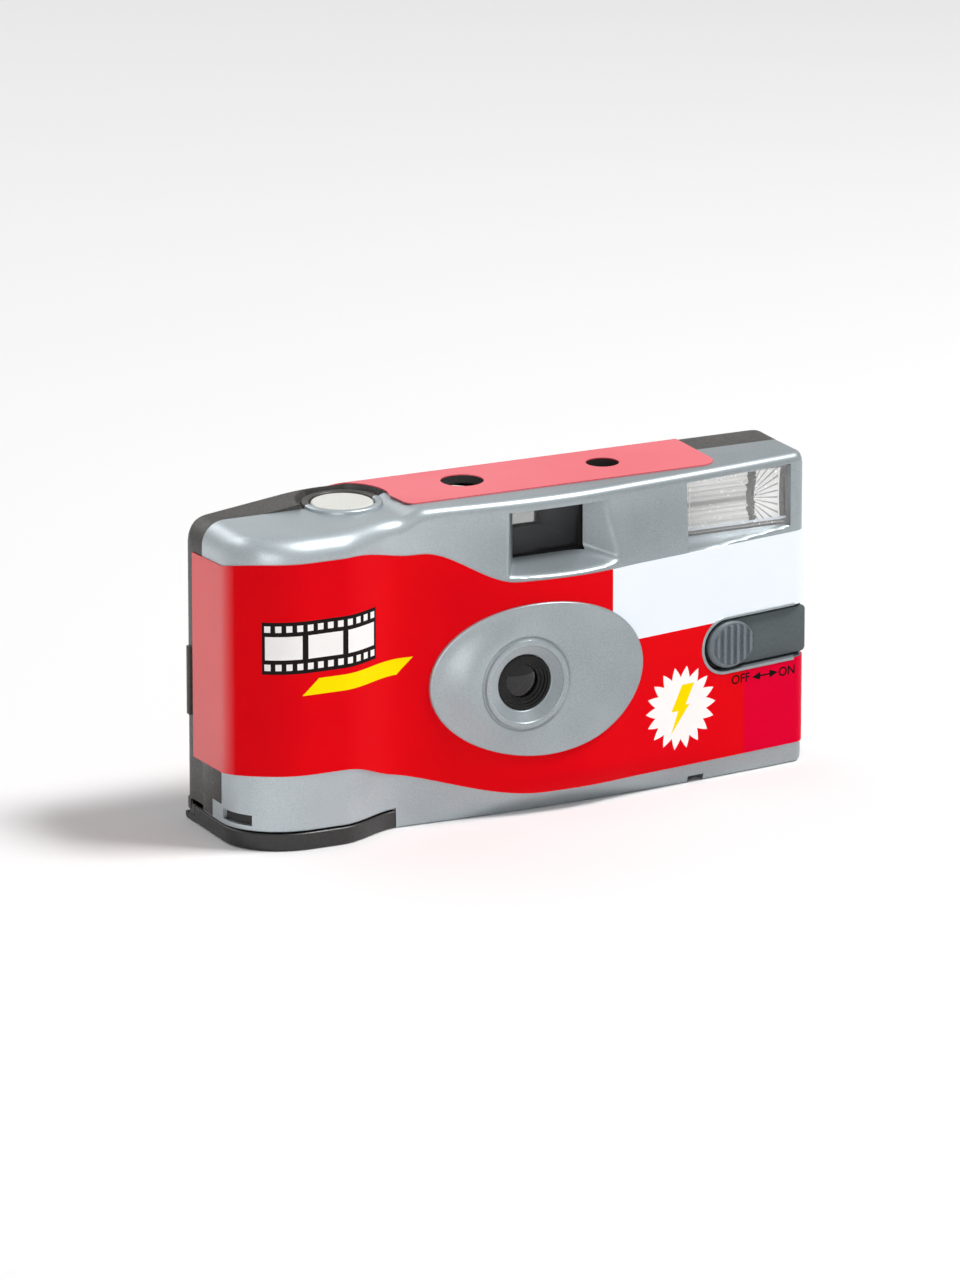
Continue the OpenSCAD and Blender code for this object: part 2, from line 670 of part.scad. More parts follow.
module main_frame() {
    plate_left = sprocket_x - 6.5;
    plate_right = roll_x - 6.5;
    color([0.16, 0.16, 0.17])
        difference() {
            union() {
                intersection() {
                    z_rod(cart_x, 0, frame_floor + 0.2, deck_top, chamber_r + chamber_t);
                    box([left_x + wall + seat_gap, bulge_y + wall + 1.3, 0], [right_x, gate_y, body_h]);
                }
                intersection() {
                    z_rod(roll_x, roll_y, frame_floor - roof_t, roof_z + roof_t, roll_room + chamber_t);
                    box([left_x, roll_front, 0], [right_x, gate_y + gate_t, body_h]);
                }
                for (x = [roll_x - 5, roll_x + 5]) z_rod(x, roll_y, wall, frame_floor, 1.5);
                for (x = [gate_left, gate_right - 6])
                    box([x, gate_y, wall], [x + 4, gate_y + gate_t, frame_floor + 0.1]);
                box([plate_left, gate_y, frame_floor], [deck_right, gate_y + gate_t, deck_top]);
                box([deck_right - past, gate_y, frame_floor], [plate_right, gate_y + gate_t, shelf_z]);
                light_cone(1);
                box([board_left, board_y, board_low], [board_right, board_y + board_t, board_high]);
                box([cart_x, -7.6, deck_z], [deck_right, gate_y + gate_t, deck_top]);
                box([deck_right, -4.5, shelf_z - roof_t], [roll_x, gate_y + gate_t, shelf_z]);
                box([deck_right - 2, -4.5, shelf_z - roof_t], [deck_right, gate_y + gate_t, deck_top]);
                box([plate_left, sprocket_y - 3.5, bracket_z], [gate_left + 3, gate_y + 0.1, bracket_z + bracket_t]);
                z_rod(lamp_x, lamp_y, shelf_z - roof_t, shelf_z + 7, tower_r);
                z_rod(lever_x, lever_y, lever_z - 0.6, deck_z + 0.1, 1.2);
                z_rod(dial_x, dial_y, deck_top - 0.1, count_z - 0.3, 3.4);
                z_rod(dial_x, dial_y, deck_top - 0.1, dial_z + dial_t - 0.2, 1.5);
                box([rocker_x - 1.6, lug_y, deck_top - 0.1], [rocker_x + 1.6, lug_y + lug_t, rocker_z + 1.6]);
                y_rod(pivot_x, pivot_z, cover_y + cover_t + run_gap, board_y + 0.1, pivot_r);
                battery_end(battery_x - contact_t - 1.2, battery_x - contact_t - seat_gap);
                battery_end(battery_x + battery_l + contact_t + seat_gap, battery_x + battery_l + contact_t + 1.2);
                for (post = [[board_left, board_low], [board_right - 2.4, board_low], [board_right - 2.4, board_high - 2.4]])
                    y_rod(post[0] + 1.2, post[1] + 1.2, cover_y + cover_t, board_y + 0.1, 1);
                box([roll_x + 6, gate_y - 4, frame_floor], [card_left + 0.6, gate_y - 3, roof_z]);
                box([card_left - 0.6, card_y + card_t, frame_floor], [card_left + 0.6, gate_y - 3, roof_z]);
            }
            on_taper() box([switch_s - trough_reach, 0, -trough_reach], [past, trough_depth + wall + slide_gap, trough_reach]);
            box([finder_low[0] - 2 * wall, bulge_y, finder_low[1] - wall - slide_gap],
                [finder_high[0], finder_y + wall + slide_gap, body_h]);
            box([flash_low[0] - 3, bulge_y, roof_z + roof_t / 2], [right_x, flash_y - wall, body_h]);
            light_cone(0);
            y_rod(lens_x, lens_z, board_y - past, gate_y, stop_r);
            z_rod(cart_x, 0, deck_z - past, deck_top + past, hub_r + slide_gap);
            z_rod(sprocket_x, sprocket_y, bracket_z - past, deck_top + past, shaft_r + run_gap);
            z_rod(sprocket_x, sprocket_y, bracket_z + bracket_t, bracket_z + bracket_t + sprocket_h + 1.4,
                pitch_r + tooth_rise + move_gap);
            z_rod(roll_x, roll_y, 0, frame_floor + past, shaft_r + run_gap);
            z_rod(roll_x, roll_y, roof_z - past, roof_z + roof_t + past, shaft_r + run_gap);
            z_rod(lamp_x, lamp_y, shelf_z, body_h, lamp_r + seat_gap);
            y_rod(rocker_x, rocker_z, lug_y - past, lug_y + lug_t + past, rocker_pin_r + run_gap);
            z_rod(roll_x, roll_y, frame_floor, roof_z, roll_room);
            z_rod(cart_x, 0, 0, deck_z, chamber_r);
        }
}

// Front label: a sheet along the front's path, from the left side round the corner to the right end
label_left = joint_y + 4;
label_end = right_x - end_r;
label_top = 51.6;
label_steps = 34;
label_rows = 10;
row_spread = 1.8;
function label_x(i) = mix(corner_x, label_end, i / label_steps);
function label_drop(x) = label_step * smooth((x + 27) / 20);
function label_high(x) = label_top - label_drop(x);
function label_low(x) = label_high(x) - label_h;
function along(x, z) = let (d = 0.05) unit([front_line(x + d, z) - front_line(x - d, z), -2 * d]);
function label_path(z, t) = concat(
    [[left_x - t, label_left]],
    [for (i = [0 : left_steps - 1]) let (a = 90 * i / left_steps)
        [corner_x - (corner_rx + t) * cos(a), corner_y - (corner_ry + t) * sin(a)]],
    [for (i = [0 : label_steps]) let (x = label_x(i)) [x, front_line(x, z)] + t * along(x, z)]);
label_xs = concat([left_x], [for (i = [0 : left_steps - 1]) left_x], [for (i = [0 : label_steps]) label_x(i)]);
function label_row(k, t) = [for (i = [0 : len(label_xs) - 1])
    let (z = mix(label_low(label_xs[i]), label_high(label_xs[i]), pow(k / label_rows, row_spread)),
        p = label_path(z, t)[i])
    [p[0], p[1], z]];

module front_label() {
    inner = [for (k = [0 : label_rows]) label_row(k, skin_gap)];
    outer = [for (k = [0 : label_rows]) label_row(k, skin_gap + label_t)];
    color([0.9, 0.05, 0.08])
        difference() {
            sheet(outer, inner);
            oval_cut(slide_gap);
            on_taper() tongue(switch_h / 2 + trough_rim + slide_gap, switch_s, 6, -3, 3);
        }
}

// Back label: flap over the top joined to the sheet on the back
flap_left = -23.5;
flap_right = 41;
flap_front = -5;
back_low = 12;
module back_label() {
    r = 4;
    color([0.9, 0.05, 0.08])
        difference() {
            union() {
                translate([0, 0, body_h]) linear_extrude(label_t)
                    difference() {
                        hull() {
                            for (x = [flap_left + 2, flap_right - r])
                                translate([x, flap_front + (x < 0 ? 2 : r)]) circle(r = x < 0 ? 2 : r);
                            translate([flap_left, rear_y - 1]) square([flap_right - flap_left, 1 + label_t]);
                        }
                        translate([button_x, button_y]) circle(r = dish_r + 0.3);
                    }
                box([flap_left, rear_y, back_low], [flap_right, rear_y + label_t, body_h + label_t]);
            }
            z_rod(counter_x, counter_y, body_h - past, body_h + past, counter_hole_d / 2);
            z_rod(lamp_x, lamp_y, body_h - past, body_h + past, lamp_hole_d / 2);
            box([finder_x - eyepiece_w / 2 - 2.4, rear_y - past, eyepiece_z - eyepiece_h / 2 - 2.2],
                [finder_x + eyepiece_w / 2 + 2.4, rear_y + past, eyepiece_z + eyepiece_h / 2 + 2.2]);
        }
}

// Shutter button: domed cap, flange under the cover and a stem to the release lever
module shutter_button() {
    dome = 0.5;
    color([0.95, 0.94, 0.9]) {
        translate([button_x, button_y, 0]) rotate_extrude()
            polygon(concat([[0, flange_z], [button_flange, flange_z], [button_flange, flange_z + flange_t],
                [button_r, flange_z + flange_t], [button_r, button_top - dome]],
                [for (i = [1 : 5]) let (a = 90 * i / 6) [button_r - dome * (1 - cos(a)), button_top - dome * (1 - sin(a))]],
                [[button_r - dome - 0.2, button_top], [0, button_top]]));
        z_rod(stem_x, stem_y, pad_z + move_gap, flange_z + 0.1, stem_r);
    }
}

// Coil spring of round wire along z, as one swept tube
coil_sides = 6;
coil_rings = 8;
module coil(r, wire, turns, h) {
    count = turns * coil_rings;
    loft([for (i = [0 : count]) let (a = 360 * i / coil_rings)
        [for (j = [0 : coil_sides - 1]) let (b = -360 * j / coil_sides)
            [(r + wire * cos(b)) * cos(a), (r + wire * cos(b)) * sin(a), wire + h * i / count + wire * sin(b)]]]);
}

spring_x = button_x + 2.4;
spring_y = button_y + 3;
spring_wire = 0.2;
module button_spring() {
    color([0.7, 0.7, 0.72]) translate([spring_x, spring_y, deck_top + 0.05])
        coil(1.2, spring_wire, 6, flange_z - deck_top - 2 * spring_wire - 0.1);
}

// Release lever: rocker that the button's stem presses at its left end
module release_lever() {
    color([0.85, 0.85, 0.8])
        difference() {
            union() {
                y_rod(rocker_x, rocker_z, rocker_y, rocker_y + rocker_w, 1.6);
                y_rod(rocker_x, rocker_z, rocker_y, lug_y + lug_t, rocker_pin_r);
                box([stem_x - 1.2, rocker_y, pad_z - rocker_t], [rocker_x, rocker_y + rocker_w, pad_z]);
                box([stem_x - 1.2, rocker_y, pad_z - rocker_t], [stem_x + 1.2, stem_y + 1.1, pad_z]);
                box([rocker_x, rocker_y, rocker_z - 0.6], [rocker_x + 5.4, rocker_y + 0.9, rocker_z + 0.6]);
                box([rocker_x + 4.4, rocker_y, rocker_z - 1.4], [rocker_x + 5.4, rocker_y + 0.9, rocker_z]);
            }
        }
}

// Drive lever: turns on its post and kicks the blade's tab with the finger at its end
finger_y = blade_y + blade_t / 2;
module drive_lever() {
    color([0.85, 0.8, 0.3])
        difference() {
            union() {
                z_rod(lever_x, lever_y, lever_z, lever_z + lever_t, 2.2);
                hull() {
                    z_rod(lever_x, lever_y, lever_z, lever_z + lever_t, 1);
                    box([finger_x - finger_w / 2, finger_y - finger_w / 2, lever_z],
                        [finger_x + finger_w / 2, finger_y + finger_w / 2, lever_z + lever_t]);
                }
                box([finger_x - finger_w / 2, finger_y - finger_w / 2, finger_low],
                    [finger_x + finger_w / 2, finger_y + finger_w / 2, lever_z + lever_t]);
            }
            z_rod(lever_x, lever_y, lever_z - past, lever_z + lever_t + past, 1.2 + run_gap);
        }
}

module drive_spring() {
    color([0.7, 0.7, 0.72]) translate([lever_x, lever_y, lever_z + lever_t + 0.1])
        coil(1.6, spring_wire, 2, deck_z - lever_z - lever_t - 2 * spring_wire - 0.3);
}

// Shutter blade: covers the stop, turns on its pin, with a tab beside the drive finger
tab_w = 1.2;
tab_x = finger_x - finger_w / 2 - 0.3 - tab_w;
module shutter_blade() {
    color([0.08, 0.08, 0.08])
        difference() {
            union() {
                hull() {
                    y_rod(lens_x, lens_z, blade_y, blade_y + blade_t, blade_r);
                    y_rod(pivot_x, pivot_z, blade_y, blade_y + blade_t, 1.8);
                }
                hull() {
                    y_rod(pivot_x, pivot_z, blade_y, blade_y + blade_t, 1.2);
                    box([tab_x, blade_y, tab_top - 4.5], [tab_x + tab_w, blade_y + blade_t, finger_low - 1]);
                }
                box([tab_x, blade_y, tab_top - 4.5], [tab_x + tab_w, blade_y + blade_t, tab_top]);
            }
            y_rod(pivot_x, pivot_z, blade_y - past, blade_y + blade_t + past, pivot_r + run_gap);
        }
}

module shutter_spring() {
    color([0.7, 0.7, 0.72])
        translate([lens_x + 7, board_y - 0.02, lens_z - 4]) rotate([90, 0, 0]) coil(0.9, 0.12, 3, 0.9);
}

// Shutter cover: plate in front of the blade with the seat of the lens
seat_r = glass_d / 2 + 1.4;
seat_h = 1.1;
module shutter_cover() {
    color([0.1, 0.1, 0.1])
        difference() {
            union() {
                box([board_left, cover_y, board_low], [board_right, cover_y + cover_t, board_high]);
                y_rod(lens_x, lens_z, cover_y - seat_h, cover_y + 0.1, seat_r);
            }
            y_rod(lens_x, lens_z, cover_y - seat_h - past, cover_y - 0.1, glass_d / 2 + seat_gap);
            y_rod(lens_x, lens_z, cover_y - past, board_y, 1.9);
        }
}

// Meniscus lens: disc with a domed front and a hollowed back
module taking_lens() {
    dome_r = 7;
    hollow_r = 9;
    lens_t = 1.1;
    front = cover_y - seat_h - 0.1;
    color([0.75, 0.85, 0.9, 0.5])
        difference() {
            intersection() {
                y_rod(lens_x, lens_z, front, front + lens_t, glass_d / 2);
                translate([lens_x, front + dome_r, lens_z]) sphere(r = dome_r, $fn = 64);
            }
            translate([lens_x, front + lens_t - 0.3 + hollow_r, lens_z]) sphere(r = hollow_r, $fn = 64);
        }
}

// Lens retainer: stepped black cup over the lens seat
module lens_retainer() {
    mouth_y = well_y - 0.1;
    back = cover_y - seat_gap;
    inner = cover_y - seat_h - 0.2;
    out_r = well_r - slide_gap;
    color([0.06, 0.06, 0.06])
        translate([lens_x, 0, lens_z]) rotate([-90, 0, 0]) rotate_extrude()
            polygon([[seat_r + run_gap, back], [out_r, back], [out_r, mouth_y], [out_r - 0.5, mouth_y],
                [out_r - 0.7, mouth_y + 0.25], [3.5, mouth_y + 0.25], [3.3, mouth_y + 0.45],
                [2.4, inner - 0.25], [2.4, inner], [seat_r + run_gap, inner]]);
}

// Finder: open tunnel with a lens at each end
module viewfinder_tunnel() {
    t = finder_wall;
    color([0.07, 0.07, 0.07])
        difference() {
            box([finder_low[0] - t, finder_y + wall + seat_gap, finder_low[1] - t],
                [finder_high[0] + t, rear_y - 2.4 - seat_gap, finder_high[1] + t]);
            box([finder_low[0], finder_y, finder_low[1]], [finder_high[0], rear_y, finder_high[1]]);
        }
}

module viewfinder_lens() {
    hollow_r = 30;
    front = finder_y + wall + 0.4;
    color([0.8, 0.9, 0.95, 0.4])
        difference() {
            box([finder_low[0] + seat_gap, front, finder_low[1] + seat_gap],
                [finder_high[0] - seat_gap, front + 1.6, finder_high[1] - seat_gap]);
            translate([finder_x, front + 0.9 + hollow_r, finder_z]) sphere(r = hollow_r, $fn = 240);
        }
}

module eyepiece_lens() {
    dome_r = 24;
    back = rear_y - 2.4 - seat_gap;
    color([0.8, 0.9, 0.95, 0.4])
        intersection() {
            box([finder_low[0] + seat_gap, back - 1.5, eyepiece_z - eyepiece_h / 2 - 0.3],
                [finder_high[0] - seat_gap, back, eyepiece_z + eyepiece_h / 2 + 0.3]);
            translate([finder_x, back - dome_r, eyepiece_z]) sphere(r = dome_r, $fn = 240);
        }
}

// Thumb wheel: ribbed rim, hub through the deck and a key in the cartridge's spool
module thumb_wheel() {
    rib = 0.35;
    key_w = 1.4;
    color([0.2, 0.2, 0.21])
        translate([cart_x, 0, 0]) {
            translate([0, 0, wheel_z]) linear_extrude(wheel_h)
                polygon([for (i = [0 : 2 * wheel_ribs - 1]) let (a = 180 * i / wheel_ribs,
                    r = wheel_r - (i % 2) * rib) [r * cos(a), r * sin(a)]]);
            z_rod(0, 0, deck_z - 2, wheel_z + 0.1, hub_r);
            box([-key_w / 2, -2.6, deck_z - 5], [key_w / 2, 2.6, deck_z - 1.9]);
            z_rod(0, 0, wheel_z + wheel_h - 0.1, wheel_z + wheel_h + move_gap + 1.6, 2);
        }
}

// Film cartridge: rolled metal shell with a lipped slit, two end caps and a spool
shell_t = 0.25;
shell_r = cart_r - 0.2;
cap_h = 1.6;
cap_t = 0.5;
slit = 0.9;
mouth_y0 = film_y + film_t / 2;
module cartridge_shell() {
    z0 = cart_z + cap_t;
    z1 = cart_top - cap_t;
    color([0.75, 0.7, 0.2])
        difference() {
            union() {
                difference() {
                    z_rod(cart_x, 0, z0, z1, shell_r);
                    z_rod(cart_x, 0, z0 - past, z1 + past, shell_r - shell_t);
                }
                for (y = [mouth_y0 - slit / 2 - shell_t, mouth_y0 + slit / 2])
                    box([cart_x + sqrt(pow(shell_r, 2) - pow(y + shell_t, 2)) - 0.3, y, z0 + cap_h],
                        [cart_x + shell_r, y + shell_t, z1 - cap_h]);
            }
            box([cart_x + 4, mouth_y0 - slit / 2, z0 + cap_h], [cart_x + shell_r, mouth_y0 + slit / 2, z1 - cap_h]);
        }
}

module cartridge_cap() {
    difference() {
        z_rod(cart_x, 0, 0, cap_h, cart_r);
        z_rod(cart_x, 0, cap_t, cap_h + past, shell_r + run_gap);
        z_rod(cart_x, 0, -past, cap_h, 6);
    }
}

module cartridge_top_cap() {
    color([0.25, 0.25, 0.25]) translate([0, 0, cart_top]) mirror([0, 0, 1]) cartridge_cap();
}

module cartridge_bottom_cap() {
    color([0.25, 0.25, 0.25]) translate([0, 0, cart_z]) cartridge_cap();
}

module cartridge_spool() {
    core_r = 5.7;
    flange_r = shell_r - shell_t - 0.5;
    color([0.1, 0.1, 0.1])
        difference() {
            union() {
                z_rod(cart_x, 0, cart_z + 0.2, cart_top - 0.2, core_r);
                for (z = [film_z - 1.2, film_z + film_w + 0.2]) z_rod(cart_x, 0, z, z + 1, flange_r);
            }
            z_rod(cart_x, 0, deck_z - 2.2, cart_top + past, hub_r + 0.1);
            box([cart_x - 0.8, -2.8, deck_z - 6], [cart_x + 0.8, 2.8, cart_top]);
        }
}

// Film: perforated strip across the gate, and the roll it comes from
film_left = cart_x + 5;
hole_w = 2;
hole_h = 2.8;
module film_strip() {
    color([0.35, 0.2, 0.12])
        difference() {
            box([film_left, film_y, film_z], [roll_x, film_y + film_t, film_z + film_w]);
            for (x = [sprocket_x - 2 * pitch : pitch : roll_x - pitch], z = [film_z + 2, film_z + film_w - 2])
                box([x - hole_w / 2, film_y - past, z - hole_h / 2], [x + hole_w / 2, film_y + past, z + hole_h / 2]);
        }
}

spool_r = 5;
module film_roll() {
    color([0.3, 0.18, 0.1])
        difference() {
            z_rod(roll_x, roll_y, film_z, film_z + film_w, roll_r);
            z_rod(roll_x, roll_y, film_z - past, film_z + film_w + past, spool_r);
        }
}

module supply_spool() {
    color([0.15, 0.15, 0.15]) {
        z_rod(roll_x, roll_y, frame_floor + 0.4, roof_z - 0.4, spool_r);
        z_rod(roll_x, roll_y, frame_floor - 1, roof_z + roof_t - 0.2, shaft_r);
    }
}

// Sprocket: toothed ring that the film turns, with the finger that moves the counter
module sprocket() {
    finger_r = norm([dial_x - sprocket_x, dial_y - sprocket_y]) - dial_r - 0.3;
    tooth_w = 1.3;
    low = bracket_z + bracket_t + 0.4;
    color([0.85, 0.85, 0.82])
        translate([sprocket_x, sprocket_y, 0]) {
            z_rod(0, 0, bracket_z - 0.4, count_z + count_t + 0.4, shaft_r);
            z_rod(0, 0, low, low + sprocket_h, pitch_r - 0.2);
            for (i = [0 : teeth - 1])
                rotate([0, 0, 90 + 360 * i / teeth])
                    box([pitch_r - past, -tooth_w / 2, low + 0.3], [pitch_r + tooth_rise, tooth_w / 2, low + sprocket_h - 0.3]);
            rotate([0, 0, 180]) box([0, -0.6, count_z], [finger_r, 0.6, count_z + count_t]);
        }
}

// Counter dial: printed face under the window and the toothed disc below it
module counter_dial() {
    tooth = 0.8;
    color([0.93, 0.93, 0.9])
        difference() {
            translate([dial_x, dial_y, 0]) {
                z_rod(0, 0, dial_z, dial_z + dial_t, dial_r);
                z_rod(0, 0, count_z, dial_z + 0.1, 2.8);
                translate([0, 0, count_z]) linear_extrude(count_t)
                    polygon([for (i = [0 : 2 * dial_teeth - 1]) let (a = 180 * i / dial_teeth,
                        r = dial_r - (i % 2) * tooth) [r * cos(a), r * sin(a)]]);
            }
            z_rod(dial_x, dial_y, count_z - past, dial_z + dial_t + past, 1.5 + run_gap);
        }
}

// Flash: ribbed pane, trough reflector and glass tube
module flash_window() {
    ribs = 9;
    gap = [seat_gap, seat_gap];
    low = flash_low + gap;
    high = flash_high - gap;
    ribbed = flash_w * 0.66;
    color([0.9, 0.95, 1, 0.5]) {
        box([low[0], flash_y, low[1]], [high[0], flash_y + pane_t, high[1]]);
        for (i = [0 : ribs - 1])
            let (z = mix(low[1] + 0.6, high[1] - 1.2, i / (ribs - 1)))
                box([low[0] + 0.8, flash_y - 0.3, z], [low[0] + ribbed, flash_y + 0.1, z + 0.6]);
    }
}

bowl_w = flash_w - 1.6;
bowl_h = flash_h - 1.2;
module bowl_profile(t) {
    front = flash_y + pane_t + 0.2;
    depth = bowl_back - front - t;
    polygon([for (i = [-8 : 8]) let (u = i / 8) [u * (bowl_h / 2 - t), front - 0.01 * t + depth * (1 - u * u)]]);
}

module flash_reflector() {
    color([0.85, 0.87, 0.9])
        difference() {
            translate([flash_x - bowl_w / 2, 0, flash_z]) rotate([0, 90, 0]) rotate([0, 0, 0])
                linear_extrude(bowl_w) bowl_profile(0);
            translate([flash_x - bowl_w / 2 + bowl_t, 0, flash_z]) rotate([0, 90, 0])
                linear_extrude(bowl_w - 2 * bowl_t) bowl_profile(bowl_t);
            x_rod(tube_y, flash_z, flash_x - bowl_w, flash_x + bowl_w, tube_r + seat_gap);
        }
}

module flash_tube() {
    color([0.9, 0.93, 0.95, 0.6]) {
        x_rod(tube_y, flash_z, flash_x - bowl_w / 2 - 1, flash_x + bowl_w / 2 + 1, tube_r);
        x_rod(tube_y, flash_z, flash_x - bowl_w / 2 - 2.2, flash_x + bowl_w / 2 + 2.2, 0.5);
    }
}

// Flash board with its large parts standing on the back of it
module flash_board() {
    color([0.75, 0.6, 0.3])
        box([card_left, card_y, card_low], [card_right, card_y + card_t, card_high]);
}

part_y = card_y + card_t;
module flash_capacitor() {
    r = 5;
    color([0.15, 0.2, 0.45]) {
        z_rod(card_left + r + 0.9, part_y + r + 0.1, 8, 34, r);
        for (z = [10, 32]) y_rod(card_left + r + 0.9, z, part_y, part_y + 1, 0.4);
    }
}

module transformer() {
    color([0.8, 0.65, 0.15]) {
        box([card_right - 6.2, part_y, 6], [card_right - 0.3, part_y + 7, 8]);
        box([card_right - 6.2, part_y, 13], [card_right - 0.3, part_y + 7, 15]);
        box([card_right - 5.4, part_y + 1, 7.9], [card_right - 1.7, part_y + 6, 13.1]);
    }
}

module trigger_coil() {
    r = 2.6;
    color([0.7, 0.2, 0.1]) {
        z_rod(card_right - 3.4, part_y + r, 20, 31, r);
        z_rod(card_right - 3.4, part_y + r, 19.4, 31.6, 1.2);
    }
}

module ready_lamp() {
    low = shelf_z;
    high = inner_top - 1.2;
    color([0.8, 0.45, 0.25, 0.7]) {
        z_rod(lamp_x, lamp_y, low, high - lamp_r * 0.4, lamp_r);
        intersection() {
            translate([lamp_x, lamp_y, high - lamp_r]) sphere(r = lamp_r);
            z_rod(lamp_x, lamp_y, high - lamp_r, high, lamp_r);
        }
    }
}

// Battery and its contacts
module battery() {
    cap_l = 0.9;
    color([0.2, 0.2, 0.22]) {
        x_rod(battery_y, battery_z, battery_x, battery_x + battery_l - cap_l, battery_r);
        x_rod(battery_y, battery_z, battery_x + battery_l - cap_l - 0.1, battery_x + battery_l, 1.9);
    }
}

module contact_plate(x) {
    box([x, battery_y - 3, battery_z - 3.6], [x + contact_t, battery_y + 3, battery_z + 3.6]);
}

module battery_contact_positive() {
    color([0.85, 0.75, 0.4]) contact_plate(battery_x + battery_l);
}

module battery_contact_negative() {
    color([0.85, 0.75, 0.4]) contact_plate(battery_x - contact_t);
}

module sync_contact() {
    color([0.85, 0.7, 0.35])
        for (i = [0, 1])
            box([board_right - 3.6 + 1.9 * i, board_y + board_t, board_high - 4],
                [board_right - 2.4 + 1.9 * i, board_y + board_t + 0.3, board_high + 1.5]);
}

// Flash switch: plate in the trough, ribbed knob and a leg hooked behind the front
module flash_switch() {
    ribs = 6;
    plate_y = trough_depth - 0.2 - switch_t;
    color([0.33, 0.36, 0.37])
        on_taper() {
            tongue(switch_h / 2, switch_s, switch_end, plate_y, plate_y + switch_t);
            translate([switch_s, 0, 0]) {
                y_rod(0, 0, -knob_rise + 0.4, plate_y + 0.1, knob_r);
                for (i = [0 : ribs - 1])
                    let (x = mix(-knob_r * 0.78, knob_r * 0.78, i / (ribs - 1)), h = sqrt(pow(knob_r * 0.97, 2) - x * x))
                        box([x - 0.4, -knob_rise, -h], [x + 0.4, -knob_rise + 0.5, h]);
            }
            box([leg_s, plate_y + switch_t - 0.1, -leg_h / 2],
                [leg_s + leg_l, trough_depth + wall + 0.3 + foot_t, leg_h / 2]);
            box([leg_s, trough_depth + wall + 0.3, -foot_h / 2],
                [leg_s + leg_l, trough_depth + wall + 0.3 + foot_t, foot_h / 2]);
        }
}

module switch_contact() {
    color([0.85, 0.7, 0.35])
        box([card_left + 3, card_y - 0.3, switch_z + 4], [card_left + 9, card_y, switch_z + 7]);
}

front_cover();
rear_cover();
film_door();
main_frame();
front_label();
back_label();
shutter_button();
button_spring();
release_lever();
drive_lever();
drive_spring();
shutter_blade();
shutter_spring();
shutter_cover();
taking_lens();
lens_retainer();
viewfinder_tunnel();
viewfinder_lens();
eyepiece_lens();
thumb_wheel();
cartridge_shell();
cartridge_top_cap();
cartridge_bottom_cap();
cartridge_spool();
film_strip();
film_roll();
supply_spool();
sprocket();
counter_dial();
flash_window();
flash_reflector();
flash_tube();
flash_board();
flash_capacitor();
transformer();
trigger_coil();
ready_lamp();
battery();
battery_contact_positive();
battery_contact_negative();
sync_contact();
flash_switch();
switch_contact();
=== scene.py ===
"""Disposable film camera: the looks of every piece, in metres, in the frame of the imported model."""
import math

import bmesh
import bpy
import numpy as np
from mathutils import Matrix, Vector


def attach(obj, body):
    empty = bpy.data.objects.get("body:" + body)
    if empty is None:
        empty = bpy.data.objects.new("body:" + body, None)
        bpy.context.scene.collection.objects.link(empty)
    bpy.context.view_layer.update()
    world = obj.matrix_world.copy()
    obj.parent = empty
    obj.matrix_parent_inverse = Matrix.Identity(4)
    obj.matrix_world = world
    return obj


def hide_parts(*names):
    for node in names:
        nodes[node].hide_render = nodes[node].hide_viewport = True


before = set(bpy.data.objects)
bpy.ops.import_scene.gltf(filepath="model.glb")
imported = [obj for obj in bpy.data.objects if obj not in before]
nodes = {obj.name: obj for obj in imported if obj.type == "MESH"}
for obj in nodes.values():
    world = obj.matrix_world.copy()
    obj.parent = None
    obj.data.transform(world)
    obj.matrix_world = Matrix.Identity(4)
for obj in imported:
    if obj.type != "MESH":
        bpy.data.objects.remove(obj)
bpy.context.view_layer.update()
MM = 0.001

# Casing, in millimetres: the values of the solids' source, and some fitted to the photograph since
LEFT, RIGHT = -59.0, 59.0
FLARE, END_X, FLARE_RUN, FOOT_R = 0.3, 59.3, 12.0, 1.8
REAR, JOINT, BULGE = 14.05, 5.4, -14.05
BODY_H, SHOULDER = 59.7, 58.3
CORNER_RX, CORNER_RY = 13.0, 11.0
CORNER_X, CORNER_Y = LEFT + CORNER_RX, BULGE + CORNER_RY
CREST_X, WAIST_X, FLAT_X = -40.0, -26.0, -10.0
FLAT_Y, FLAT_BOW = -9.45, 0.00105
HUMP_X, HUMP_Y, HUMP_BLEND = 4.0, -13.6, 20.0
TAPER, END_Y, END_R = 0.18, -4.451, 2.5
TAPER_COS, TAPER_SIN = math.cos(math.atan(TAPER)), math.sin(math.atan(TAPER))
LOW_Z, HIGH_Z, CROWN_Z, CROWN_LIFT = 8.0, 44.0, 57.0, 0.4
LEFT_FILLET, RIGHT_FILLET, REAR_FILLET, REAR_R = 4.4, 1.8, 1.2, 3.0
EDGE_TOP = BODY_H - RIGHT_FILLET
WALL_T, ROLL = 1.0, 0.5
FRONT_EVEN, REAR_EVEN = 43.0, 46.0
DOOR_X, DOOR_H, DOOR_ROOM, DOOR_BACK, DOOR_SIDE = -27.2, 3.3, 3.6, 9.4, 9.6
LATCH_X, LATCH_Z = -56.3, (4.6, 6.6)
NOTCH_X, NOTCH_H = (33.2, 36.6), 1.3

